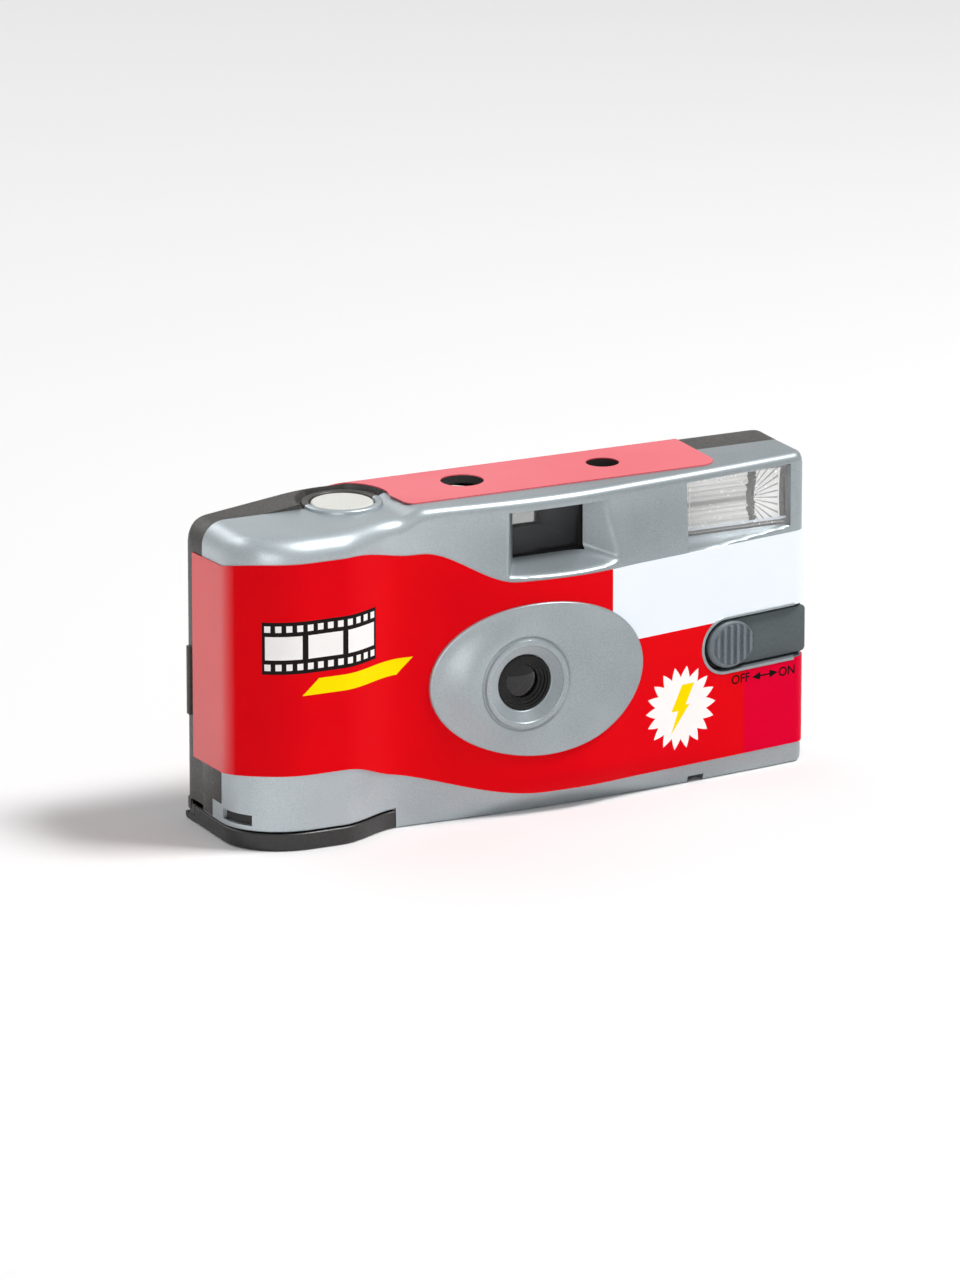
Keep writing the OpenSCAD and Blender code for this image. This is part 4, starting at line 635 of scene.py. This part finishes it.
def bezel():
    """Oval pad carried from its rim to a round lip, a groove, and a stepped cone down to the lens, ring by ring."""
    a = np.radians(np.arange(0, 360, 2.0))
    rings = []
    for k, rise in ((1.0, 0.6), (1.0, -0.35), (0.998, -0.55), (0.99, -0.72), (0.975, -BEZEL_RISE)):
        x, z = BEZEL_X + k * BEZEL_RX * np.cos(a), BEZEL_Z + k * BEZEL_RZ * np.sin(a)
        rings.append(points(x, front_line(x, z) + rise, z))
    for t in np.linspace(0.02, 1, 26):
        x = mix(BEZEL_X, LENS_X, t) + mix(0.975 * BEZEL_RX, RING_R + 0.55, t) * np.cos(a)
        z = mix(BEZEL_Z, LENS_Z, t) + mix(0.975 * BEZEL_RZ, RING_R + 0.55, t) * np.sin(a)
        rings.append(points(x, mix(front_line(x, z) - BEZEL_RISE, -13.9, smooth(t)), z))
    profile = [(RING_R + 0.3, -13.72), (RING_R + 0.12, -13.8), (RING_R, -14.1), (RING_R - 0.12, -14.4),
               (RING_R - 0.4, RING_Y), (RING_R - 0.9, RING_Y), (RING_R - 1.15, -14.46), (RING_R - 1.25, -14.3)]
    ridges = 10
    for i in range(ridges):
        for across, down in ((0, 0), (0.75, 0.35)):
            profile.append((mix(7.15, WELL_R + 0.25, (i + across) / ridges), mix(-14.2, CONE_Y, (i + down) / ridges)))
    profile += [(WELL_R + 0.2, CONE_Y), (WELL_R + 0.1, CONE_Y + 0.3), (WELL_R + 0.1, -10.4)]
    rings += [points(LENS_X + r * np.cos(a), y, LENS_Z + r * np.sin(a)) for r, y in profile]
    surface("lens_bezel", np.array(rings), silver, around=True, flip=True, sharp=40.0)


def u_path(r, s0, s1, n=40):
    """Path round a strip with a half-round left end: along the top to the left, round, and back below."""
    top = np.linspace(s1, s0, n)
    turn = np.radians(np.linspace(90, 270, n))[1:-1]
    s = np.concatenate([top, s0 + r * np.cos(turn), top[::-1]])
    return s, np.concatenate([np.full(n, r), r * np.sin(turn), np.full(n, -r)])


def trough():
    """Rim, wall and floor of the switch's slot: a profile carried round the strip's path, each line of it running out
    to the rounded right end of the casing, and on to its middle."""
    corner = np.linspace(END_X - END_R, END_X, 60)
    corner_y = front_y(corner, SWITCH_Z)
    corner_x = corner - slide(corner, corner_y)
    reach, deep = along_taper(corner_x, corner_y), under_taper(corner_x, corner_y)
    out = TROUGH_R + TROUGH_RIM
    rings = []
    for r, y in ((out + 0.05, 0.35), (out, -0.14), (out - 0.1, -0.34), (out - 0.24, -0.42), (TROUGH_R + 0.22, -0.42),
                 (TROUGH_R + 0.06, -0.32), (TROUGH_R, -0.12), (TROUGH_R, TROUGH_DEPTH - 0.2),
                 (TROUGH_R - 0.2, TROUGH_DEPTH), (0.001, TROUGH_DEPTH)):
        s, z = u_path(r, TROUGH_S, np.interp(y, deep, reach) - 0.03)
        depth = np.full(len(s), y)
        depth[[0, -1]] = max(y, 0.3)
        rings.append(on_taper(s, depth, z))
    grid = np.array(rings)
    surface("switch_rim", grid[:8], silver, sharp=40.0)
    surface("switch_floor", grid[7:], frame_black)


def label_edges(x):
    """Lower and upper edge of the label along x: both fall from the bulge to the lens in two blended steps."""
    high = LABEL_TOP - LABEL_STEP * (0.28 * smooth((x - CREST_X - 2) / 14) + 0.72 * smooth((x - CREST_X - 18) / 18))
    fall = (LABEL_STEP + 1.1) * (0.25 * smooth((x - CREST_X) / 12) + 0.75 * smooth((x - CREST_X - 2) / 40))
    return LABEL_TOP - LABEL_H - fall, high


def label_grid(rise):
    """Label sheet: along its path from the left side round both corners to the right side, and up from its lower to
    its upper edge, held off the casing along the normal in plan."""
    side = np.linspace(LABEL_LEFT, CORNER_Y, 12)[:-1]
    turn = arc(24)[:-1]
    label_end = END_X - END_R
    xs = np.concatenate([steps(CORNER_X, -10, 0.8), steps(-10, 22, 0.5)[1:], steps(22, 31, 0.8)[1:],
                         steps(31, label_end, 0.4)[1:]])
    bend = np.append(arc(12)[1:], np.pi / 2)
    share = np.concatenate([0.3 * np.linspace(0, 1, 12)[:-1], 0.3 + 0.7 * np.sin(np.minimum(np.pi / 2, 1.5 * turn)),
                            np.ones(len(xs) + len(bend))])[:, None]
    shape_x = np.concatenate([np.full(len(side) + len(turn), LEFT), xs, np.full(len(bend), label_end)])[:, None]
    low, high = label_edges(shape_x)
    low, high = low - SIDE_DROP[0] * (1 - share), high - SIDE_DROP[1] * (1 - share)
    corner_z, z, end_z = np.split(mix(low, high, np.linspace(0, 1, 100)[None]), [len(side) + len(turn), -len(bend)])
    corner_x = np.concatenate([np.full(len(side), LEFT - rise), CORNER_X - (CORNER_RX + rise) * np.cos(turn)])
    corner_y = np.concatenate([side, CORNER_Y - (CORNER_RY + rise) * np.sin(turn)])
    x, d = xs[:, None], 0.05
    slope = (front_line(x + d, z) - front_line(x - d, z)) / (2 * d)
    length = np.sqrt(1 + slope ** 2)
    a = bend[:, None]
    end_x = label_end + END_R * np.sin(a)
    end_y = front_line(end_x, end_z) + END_R * (1 - np.cos(a))
    end_y[-1] += LABEL_SIDE
    away = np.stack([TAPER * np.cos(a) + np.sin(a), -np.cos(a)])
    away /= np.linalg.norm(away, axis=0)
    return np.concatenate([
        points(corner_x[:, None], corner_y[:, None], corner_z),
        points(x + rise * slope / length, front_line(x, z) - rise / length, z),
        points(end_x - slide(end_x, end_y) + rise * away[0], end_y + rise * away[1], end_z)])


def front_label():
    """Label with its cells dropped under the bezel and the switch's rim, thickened inwards."""
    grid = label_grid(LABEL_RISE)
    x, y, z = cell_middle(grid)
    drop = (in_bezel(x, z, 0.95) & (y < -5)) | in_slot(x, y, z, 0.4)
    level = grid[:, grid.shape[1] // 2]
    length = np.concatenate([[0], np.cumsum(np.hypot(*np.diff(level[:, :2], axis=0).T))])
    length -= length[np.searchsorted(level[:, 0], CORNER_X - 0.01)]
    chart = points(length[:, None], grid[..., 2])
    obj = surface("wrap_label", grid, label, drop=drop, flip=True, thick=PAPER, chart=chart)
    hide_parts("front_label")


# Rear cover
def rear_top(x):
    """Top of the rear cover: level, falling to the left, with rounded ends."""
    return round_ends(soft_min(BODY_H + 0 * x, 57.3 + (x + 54.6) * 2.4 / 18.6, 0.5), x, RIGHT)


def rear_line(x):
    """Back in plan: level, with round ends."""
    return REAR - round_in(REAR_R, np.abs(x) - RIGHT + REAR_R)


def rear_wall(x, z):
    """Back surface: its line in plan, a cylinder scooped out for the wheel and a funnel for the eyepiece."""
    y = rear_line(x)
    scoop = REAR - SCOOP_DEPTH + SCOOP_R - np.sqrt(np.maximum(SCOOP_R ** 2 - (z - SCOOP_Z) ** 2, 0))
    y = np.where(np.abs(x - WHEEL_X) < SCOOP_W / 2, np.minimum(y, scoop), y)
    inside = np.minimum(EYE_W / 2 + 1 - np.abs(x - EYE_X), EYE_H / 2 + 1 - np.abs(z - EYE_Z))
    return y - np.clip(inside, 0, 1) * EYE_DEPTH


def rear_grid():
    """Sections along x from the joint under the floor, up the back, round the top edge and forward to the joint,
    dished round the button, with more sections at the ends that close the sides."""
    left = LEFT + REAR_R - REAR_R * np.cos(arc(10))
    pair = np.array([-1, 1])
    lead, eye_x, eye_z = WHEEL_X + pair * SCOOP_W / 2, EYE_X + pair * EYE_W / 2, EYE_Z + pair * EYE_H / 2
    xs = stations(left, -left, steps(-56, -42, 0.5), steps(-42, -20, 0.25), steps(-20, 56, 0.6), lead - 0.03,
                  lead + 0.03, WHEEL_X + pair * SLOT_HALF, eye_x, eye_x + pair, [DOOR_X - 0.03, DOOR_X + 0.03])
    zs = stations([2.2, 2.8, 3.7], steps(4, REAR_EVEN, 2.0), steps(REAR_EVEN, 57, 0.35), SLOT_Z, eye_z, eye_z + pair)
    x, z, r = xs[:, None], zs[None], REAR_FILLET
    floor, skirt = np.where(x < DOOR_X, DOOR_ROOM, 0.0), np.where(x < DOOR_X, 1.6, 0.0)
    top, end = rear_top(x), rear_line(x)
    edge = top - r
    stretched = REAR_EVEN + (z - REAR_EVEN) * np.minimum((edge - 46.15) / 11.0, 1.0)
    wall = np.concatenate([np.where(z > REAR_EVEN, stretched, z), edge - 0.05], axis=1)
    wall = np.minimum(wall, edge)
    lip = np.minimum(12.85, end - 0.7)
    roll, bend = arc(4)[None], arc(7)[None]
    back = mix(end - r, JOINT, np.linspace(0, 1, 31)[None, 1:])
    far = np.hypot(x - BUTTON[0], back - BUTTON[1])
    dish = np.maximum(top - SHOULDER, 0) * (1 - smooth((far - DISH_R) / 0.5))
    ys = np.concatenate([JOINT + 0 * x, mix(JOINT, lip, 0.5), lip, lip, end - ROLL * (1 - np.sin(roll)),
                         rear_wall(x, wall), end - r * (1 - np.cos(bend)), back], axis=1)
    zs = np.concatenate([floor, floor, floor, skirt, skirt + ROLL * (1 - np.cos(roll)), wall, edge + r * np.sin(bend),
                         top - dish], axis=1)
    left, right = (points(side, JOINT, z_line)[None] for side, z_line in ((xs[0], zs[0]), (xs[-1], zs[-1])))
    behind = points(xs[0], np.minimum(ys[0], DOOR_SIDE), zs[0])[None]
    return np.concatenate([left, behind, points(x, ys, zs), right])


def rear_cover():
    """Skin of the back, opened at the wheel, the eyepiece, the top holes and beside the door, and thickened inwards."""
    grid = rear_grid()
    x, y, z = cell_middle(grid)
    drop = (np.abs(x - WHEEL_X) < SLOT_HALF) & (z > SLOT_Z[0]) & (z < SLOT_Z[1]) & (y > 11)
    drop |= (np.abs(x - EYE_X) < EYE_W / 2) & (np.abs(z - EYE_Z) < EYE_H / 2) & (y > 10)
    for centre, r in ((BUTTON, RING_BORE), (COUNTER, COUNTER_R), (LAMP, LAMP_R)):
        drop |= near(x, y, centre, r + 0.45) & (z > SHOULDER - 1.6)
    drop |= (x < LEFT + 0.01) & (z < DOOR_ROOM) & (y < DOOR_SIDE)
    drop[[0, 1, -1], :3] = True
    drop[[0, 1, -1], -30:] = True
    obj = surface("rear_shell", grid, black, drop=drop, thick=WALL_T, sharp=38.0)
    set_points(obj.data, lambda p: np.clip(p / MM, (LEFT, -99, 0), (RIGHT, REAR, BODY_H)))
    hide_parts("rear_cover")


def pad(name, low, high, rise, soft=0.25):
    """Rounded plate on the left side: nested rectangles from its foot to its middle, between two corners in y and z."""
    (y0, z0), (y1, z1) = low, high
    rings = []
    for inset, out in ((0, -0.4), (0, rise - soft), (0.3 * soft, rise - 0.3 * soft), (soft, rise), (99, rise)):
        inset = min(inset, (y1 - y0) / 2 - 0.01, (z1 - z0) / 2 - 0.01)
        y = np.array([y0 + inset, y1 - inset, y1 - inset, y0 + inset])
        z = np.array([z0 + inset, z0 + inset, z1 - inset, z1 - inset])
        rings.append(points(LEFT - out, y, z))
    surface(name, np.array(rings), black, around=True, flip=True, sharp=50.0)


# Film door
def film_door():
    """Tray: a wall and rounded foot carried along the plan of the left corner and front, its floor drawn to the back,
    and a plate with a round bead along the hinge."""
    turn, right, floor_t = arc(26), DOOR_X - 0.2, 1.3
    front_x = steps(CORNER_X, right, 0.7)[1:]
    plan = np.concatenate([points(LEFT, np.linspace(DOOR_BACK, CORNER_Y, 7)[:-1]),
                           points(CORNER_X - CORNER_RX * np.cos(turn), CORNER_Y - CORNER_RY * np.sin(turn)),
                           points(front_x, front_line(front_x, 0.0)),
                           points(right, np.linspace(front_line(right, 0.0), DOOR_BACK, 6)[1:])])
    part = np.diff(plan, axis=0)
    part /= np.linalg.norm(part, axis=1)[:, None]
    way = np.concatenate([part[:1], part[:-1] + part[1:], part[-1:]])
    way /= np.linalg.norm(way, axis=1)[:, None]
    inward = points(-way[:, 1], way[:, 0])
    rings = [points(*(plan + inset * inward).T, z) for inset, z in (
        (1.2, floor_t), (1.2, DOOR_H), (0.15, DOOR_H), (0.0, DOOR_H - 0.15), (0.0, 0.6), (0.18, 0.18), (0.6, 0.0))]
    first, last = (points(rings[i][:, 0], DOOR_BACK, rings[i][:, 2]) for i in (0, -1))
    tray = surface("door_tray", np.array([first, *rings, last]), door_black, "door", sharp=40.0)
    bead = np.radians(np.linspace(-90, 170, 16))
    profile = np.array([(DOOR_BACK, 0.0), (12.6, 0.0), *zip(13.3 + 0.7 * np.cos(bead), 0.75 + 0.7 * np.sin(bead)),
                        (12.5, floor_t), (DOOR_BACK, floor_t)])
    along = np.array([LEFT + 0.2, LEFT + 0.2, right, right])
    shrink = np.array([0.0, 1.0, 1.0, 0.0])
    centre = profile.mean(axis=0)
    spots = centre + (profile - centre) * shrink[:, None, None]
    grid = points(along[:, None], spots[..., 0], spots[..., 1])
    surface("door_hinge_plate", grid, door_black, "door", around=True, sharp=40.0)
    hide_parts("film_door")


# Labels over the top and the back
def back_label():
    """Flap on the top, a quarter-round fold and a sheet on the back."""
    back_y, high = REAR + PAPER - FOLD_R, BODY_H + PAPER - FOLD_R
    cut = DISH_R + 0.5
    start = math.degrees(math.asin((back_y - BUTTON[1]) / cut))
    flap = np.concatenate([[(FLAP_RIGHT, back_y)], ring_points(BUTTON, cut, start, -22, 40),
                           ring_points((-20.6, -3.0), 2, 180, 270, 8),
                           ring_points((FLAP_RIGHT - 4, -1.0), 4, 270, 360, 16)])
    mesh = flat_mesh("top_flap", [flap, ring_points(COUNTER, COUNTER_R), ring_points(LAMP, LAMP_R)], PAPER)
    set_points(mesh, lambda p: p + [0, 0, BODY_H + PAPER / 2])
    # The top flap carries the pink painted sheen.
    top = add_piece("top_flap_label", mesh, flap_label_painted_sheen, "camera")
    bend = arc(12)[:, None]
    fold_y, fold_z = back_y + FOLD_R * np.sin(bend), high + FOLD_R * np.cos(bend)
    start_x = BUTTON[0] + np.sqrt(np.maximum(cut ** 2 - (fold_y - BUTTON[1]) ** 2, 0))
    start_x = np.where(fold_y - BUTTON[1] > cut - 0.01, FLAP_LEFT, start_x)
    rows = points(mix(start_x, FLAP_RIGHT, np.linspace(0, 1, 60)[None]), fold_y, fold_z)
    surface("fold_label", rows, red_label, thick=PAPER)
    hole = np.array([(EYE_X + i * (EYE_W / 2 + 2.4), EYE_Z + j * (EYE_H / 2 + 2.2))
                     for i, j in ((-1, -1), (1, -1), (1, 1), (-1, 1))])
    sheet = np.concatenate([[(FLAP_LEFT, high)], ring_points((FLAP_LEFT + 3, 15.0), 3, 180, 270, 12),
                            ring_points((FLAP_RIGHT - 3, 15.0), 3, 270, 360, 12), [(FLAP_RIGHT, high)]])
    mesh = flat_mesh("back_sheet", [sheet, hole], PAPER)
    set_points(mesh, lambda p: points(p[:, 0], REAR + PAPER / 2 - p[:, 2], p[:, 1]))
    add_piece("back_sheet_label", mesh, red_label, "camera")
    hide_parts("back_label")


# Button, its ring, and the collars of the top holes
def button_and_holes():
    """Turned pieces: the button with a dished cap, the half rings round it, and the walls of both top holes."""
    edge = [(BUTTON_R - 0.5 + 0.5 * math.sin(a), 58.35 + 0.5 * math.cos(a)) for a in arc(7)]
    cap = [(0, 58.72), (2, 58.73), (4, 58.78), (4.9, 58.84), *edge, (BUTTON_R, 57.1), (6.8, 57.0), (6.8, 56.4),
           (0, 56.4)]
    button = revolve("button_cap", cap, BUTTON, warm_white, "button", sharp=45.0)
    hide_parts("shutter_button")
    mid, half = (RING_BORE + RING_OUT) / 2, (RING_OUT - RING_BORE) / 2
    crown = [(mid + half * math.cos(a), RING_TOP - 0.45 + 0.45 * math.sin(a)) for a in np.linspace(0, np.pi, 13)]
    profile = [(RING_OUT + 0.1, SHOULDER - 0.4), *crown, (RING_BORE, 56.9)]
    revolve("button_ring_front", profile, BUTTON, silver, turn=(180, 360), n=60, sharp=50.0)
    revolve("button_ring_rear", profile, BUTTON, black, turn=(0, 180), n=60, sharp=50.0)
    for name, centre, r, low in (("counter_collar", COUNTER, COUNTER_R, 58.2), ("lamp_collar", LAMP, LAMP_R, 58.0)):
        profile = [(r + 0.9, BODY_H - 0.05), (r + 0.02, BODY_H + 0.02), (r, low), (r + 0.9, low)]
        revolve(name, profile, centre, frame_black, sharp=40.0)


# Lens
def lens():
    """Turned pieces: a stepped black retainer and the glass, a bowed face in its middle."""
    centre, glass_r = (LENS_X, LENS_Z), 3.12
    ring = [(5.28, -10.6)] + [(r, CONE_Y + deep) for r, deep in (
        (5.28, 0.2), (5.1, 0.1), (4.75, 0.1), (4.7, 0.35), (4.3, 0.4), (4.25, 0.7), (3.75, 0.75), (3.7, 1.0),
        (3.15, 1.1), (3.1, 1.6))]
    holder = revolve("lens_holder", ring, centre, lens_black, axis="y", sharp=30.0)
    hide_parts("lens_retainer")
    dome = [(glass_r * (1 - t), CONE_Y + 1.35 - 0.62 * (1 - (1 - t) ** 2)) for t in np.linspace(0, 1, 14)]
    face = [(glass_r, CONE_Y + 2.1), (glass_r, CONE_Y + 1.4), *dome]
    # The glass carries painted shade of the camera's dark inside.
    glass = revolve("front_glass", face, centre, glass_painted_interior_shade, axis="y")
    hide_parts("taking_lens")


# Flash switch
def strip_loop(r, s0, s1, soft, n=28):
    """Closed outline of a strip with a half-round left end and a right end with rounded corners."""
    turn = np.radians(np.linspace(90, 270, n))
    bend = arc(7)
    low_s, low_z = s1 - soft + soft * np.sin(bend), -r + soft * (1 - np.cos(bend))
    s = np.concatenate([s0 + r * np.cos(turn), np.linspace(s0, s1 - soft, 14)[1:-1], low_s, low_s[::-1],
                        np.linspace(s1 - soft, s0, 14)[1:-1]])
    return s, np.concatenate([r * np.sin(turn), np.full(12, -r), low_z, -low_z[::-1], np.full(12, r)])


def flash_switch():
    """Slider as nested outlines from its foot to its middle line, and an oval knob whose face is a wave of six ribs."""
    rings = []
    for inset, y, flat in ((0.0, 1.9, 1), (0.0, 0.72, 1), (0.07, 0.57, 1), (0.22, 0.5, 1), (0.22, 0.5, 0)):
        s, z = strip_loop(SWITCH_R - inset, SWITCH_S, SWITCH_END - inset, 0.9 - inset)
        rings.append(on_taper(s, y, flat * z))
    slider = surface("switch_slider", np.array(rings), slider_grey, "switch", around=True, sharp=40.0)
    a = np.radians(np.arange(0, 360, 2.0))
    face_s, face_rx, face_rz, pitch = -16.8, 4.6, 3.92, 1.5
    skirt = [(-17.2, 5.0, 4.55, 0.6), (-17.2, 5.0, 4.55, 0.1), (-17.1, 4.92, 4.42, -0.12), (-16.9, 4.75, 4.1, -0.42),
             (-16.85, 4.68, 4.0, -0.46), (face_s, face_rx, face_rz, -0.47)]
    rings = [on_taper(s0 + rx * np.cos(a), y, rz * np.sin(a)) for s0, rx, rz, y in skirt]
    for k in np.linspace(0.985, 0.005, 56):
        s, z = face_rx * k * np.cos(a), face_rz * k * np.sin(a)
        rib = smooth((0.1 - np.cos(2 * np.pi * s / pitch)) / 0.5) * smooth((1.0 - k) / 0.05)
        rings.append(on_taper(s + face_s, -0.35 - 0.54 * rib, z))
    surface("switch_knob", np.array(rings), knob_grey, "switch", around=True, sharp=50.0)
    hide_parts("flash_switch")


# Flash
def flash_pane():
    """Clear pane: a plain border, fine level ribs on the left two thirds and a fan of facets on the right; behind it an
    insert bowed back along its middle line."""
    gap, middle = 0.1, 52.1
    (x0, z0), (x1, z1) = FLASH_LOW, FLASH_HIGH
    x, z = np.linspace(x0 + gap, x1 - gap, 170)[:, None], np.linspace(z0 + gap, z1 - gap, 150)[None]
    border = np.minimum(np.minimum(x - x0, x1 - x), np.minimum(z - z0, z1 - z)) - gap
    inner = smooth((border - 0.7) / 0.25)
    ribs = 0.5 + 0.5 * np.cos(2 * np.pi * z / 0.62)
    turn = np.arctan2(z - middle, x - 48.6) / (2 * np.pi) * 26
    fan = np.abs(turn - np.round(turn)) * 2
    y = FLASH_Y - 0.8 + 0.32 * inner - 0.05 * inner * mix(ribs, 1.5 * fan, smooth((x - 49.0) / 0.4))
    pane = surface("flash_pane", points(x, y, z), flash_clear, flip=True, thick=0.55, sharp=25.0)
    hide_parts("flash_window")
    x, z = np.linspace(x0 + gap, x1 - gap, 12)[:, None], np.linspace(z0 + gap, z1 - gap, 24)[None]
    grid = points(x, -4.05 + 0.6 * (1 - ((z - middle) / 5.7) ** 2), z)
    surface("flash_insert", grid, reflector_face, flip=True, thick=0.2)


# Words and signs
def words(name, text, size, spot, body, move):
    """Plain letters as a flat mesh, put in place by a function of the whole array of points."""
    data = bpy.data.curves.new(name, "FONT")
    data.body = text
    data.size = size
    data.offset = 0.03
    data.align_x = "CENTER"
    data.align_y = "CENTER"
    mesh = curve_mesh(name, data)
    set_points(mesh, lambda p: move(p + [*spot, 0]))
    add_piece(name, mesh, ink, body)


def signs():
    """OFF and ON with a double arrow under the switch, and the numbers on the counter dial."""
    on_label = lambda p: on_taper(p[:, 0], -LABEL_RISE - 0.04, p[:, 1])
    words("word_off", "OFF", 2.45, (-15.0, -7.1), "camera", on_label)
    words("word_on", "ON", 2.45, (-4.2, -7.45), "camera", on_label)
    half, tip, bar, neck = 3.0, 0.75, 0.13, 1.1
    arrow = np.array([(-half, 0), (-neck, tip), (-neck, bar), (neck, bar), (neck, tip), (half, 0), (neck, -tip),
                      (neck, -bar), (-neck, -bar), (-neck, -tip)])
    mesh = flat_mesh("arrow", [arrow + [-9.35, -7.25]], 0.0)
    set_points(mesh, on_label)
    add_piece("switch_arrow", mesh, ink, "camera")
    for i in range(10):
        c, s = math.cos(math.radians(29 + 36 * i)), math.sin(math.radians(29 + 36 * i))
        turn = lambda p: points(DIAL[0] + p[:, 0] * s + p[:, 1] * c, DIAL[1] - p[:, 0] * c + p[:, 1] * s, 57.93)
        words(f"count_{3 * i}", str(3 * i), 2.0, (0, 6.2), "counter", turn)


front_cover()
bezel()
trough()
front_label()
rear_cover()
pad("side_tongue_high", (-2.4, 7.1), (5.6, 13.3), 0.1, soft=0.1)
pad("side_tongue_low", (1.6, 3.7), (5.6, 7.2), 0.1, soft=0.1)
pad("grip_bump", (10.45, 20.5), (11.6, 33.5), 0.6)
film_door()
back_label()
button_and_holes()
lens()
flash_switch()
flash_pane()
signs()

# Plain finishes for the solids that stay
for mat, names in (
        (frame_black, "main_frame shutter_cover viewfinder_tunnel cartridge_top_cap cartridge_bottom_cap"),
        (black, "thumb_wheel"), (white, "release_lever sprocket counter_dial"), (yellow, "drive_lever"),
        (grey, "cartridge_spool supply_spool"), (steel, "button_spring drive_spring shutter_spring"),
        (blade_steel, "shutter_blade"), (clear_lens, "viewfinder_lens eyepiece_lens"), (can_metal, "cartridge_shell"),
        (film, "film_strip film_roll"), (mirror, "flash_reflector"), (tube_glass, "flash_tube"), (board, "flash_board"),
        (sleeve, "flash_capacitor"), (tape, "transformer"), (winding, "trigger_coil"), (amber, "ready_lamp"),
        (jacket, "battery"),
        (brass, "battery_contact_positive battery_contact_negative sync_contact switch_contact")):
    for node_name in names.split():
        materials = nodes[node_name].data.materials
        materials.clear()
        materials.append(mat)


# Stage: floor, lights, backdrop and camera
def area_light(name, place_at, aim, size, power):
    """Soft rectangular lamp that looks from one point to another."""
    data = bpy.data.lights.new(name, "AREA")
    data.shape = "RECTANGLE"
    data.size, data.size_y = size
    data.energy = power
    lamp = new_object(name, data)
    lamp.location = place_at
    lamp.rotation_euler = (Vector(aim) - Vector(place_at)).to_track_quat("-Z", "Y").to_euler()


def studio():
    """Pale floor that keeps the shadow, white backdrop, and soft lamps."""
    mesh = bpy.data.meshes.new("studio_floor")
    half = 1.6
    mesh.from_pydata([(-half, -half, 0), (half, -half, 0), (half, half, 0), (-half, half, 0)], [], [(0, 1, 2, 3)])
    floor = new_object("studio_floor", mesh)
    floor.location.z = -0.00002
    mat, shader, spot = new_material("studio_floor_white")
    feed(shader, {"Base Color": spot.noise(3.0).blend((0.9, 0.9, 0.9), (0.93, 0.93, 0.93)), "Roughness": 0.8})
    mesh.materials.append(mat)
    world = bpy.data.worlds.new("studio_white")
    bpy.context.scene.world = world
    world.use_nodes = True
    tree = world.node_tree
    path = tree.nodes.new("ShaderNodeLightPath").outputs
    seen, glossy, through = (Value(tree, path[f"Is {kind} Ray"]) for kind in ("Camera", "Glossy", "Transmission"))
    strength = (seen | glossy * 0.5 | through).spread(0.0, 1.0, 0.24, 1.0)
    feed(tree.nodes["Background"], {"Strength": strength, "Color": (1, 1, 1, 1)})
    area_light("key_lamp", (0.5, -0.3, 1.05), (0, 0, 0.03), (0.3, 0.3), 12.0)
    area_light("left_lamp", (-0.65, -0.8, 0.35), (0, 0, 0.03), (0.5, 0.7), 2.3)
    area_light("back_lamp", (-0.55, 1.0, 0.9), (-0.35, 0.75, 0.0), (1.4, 0.6), 6.0)


def photo_camera():
    """Camera at the angle of the photograph, from its fitted bearing, height, focal length and offsets."""
    phi, tilt = math.radians(25.8089), math.radians(16.7337)
    focal, far, across, up_by, photo_h = 10659.78, 1965.81, -4.6698, 28.3012, 1280
    back = Vector((-math.sin(phi) * math.cos(tilt), -math.cos(phi) * math.cos(tilt), math.sin(tilt)))
    right = Vector((math.cos(phi), -math.sin(phi), 0))
    up = back.cross(right)
    data = bpy.data.cameras.new("photo_camera")
    data.sensor_fit = "VERTICAL"
    data.sensor_height = 36.0
    data.sensor_width = 27.0
    data.lens = focal / photo_h * data.sensor_height
    data.clip_end = 20.0
    cam = new_object("photo_camera", data)
    spot = (back * far + right * across + up * up_by + Vector((0, 1.05, 0))) * MM
    cam.matrix_world = Matrix.Translation(spot) @ Matrix((right, up, back)).transposed().to_4x4()
    bpy.context.scene.camera = cam


studio()
photo_camera()
bpy.context.scene.view_settings.view_transform = "Standard"
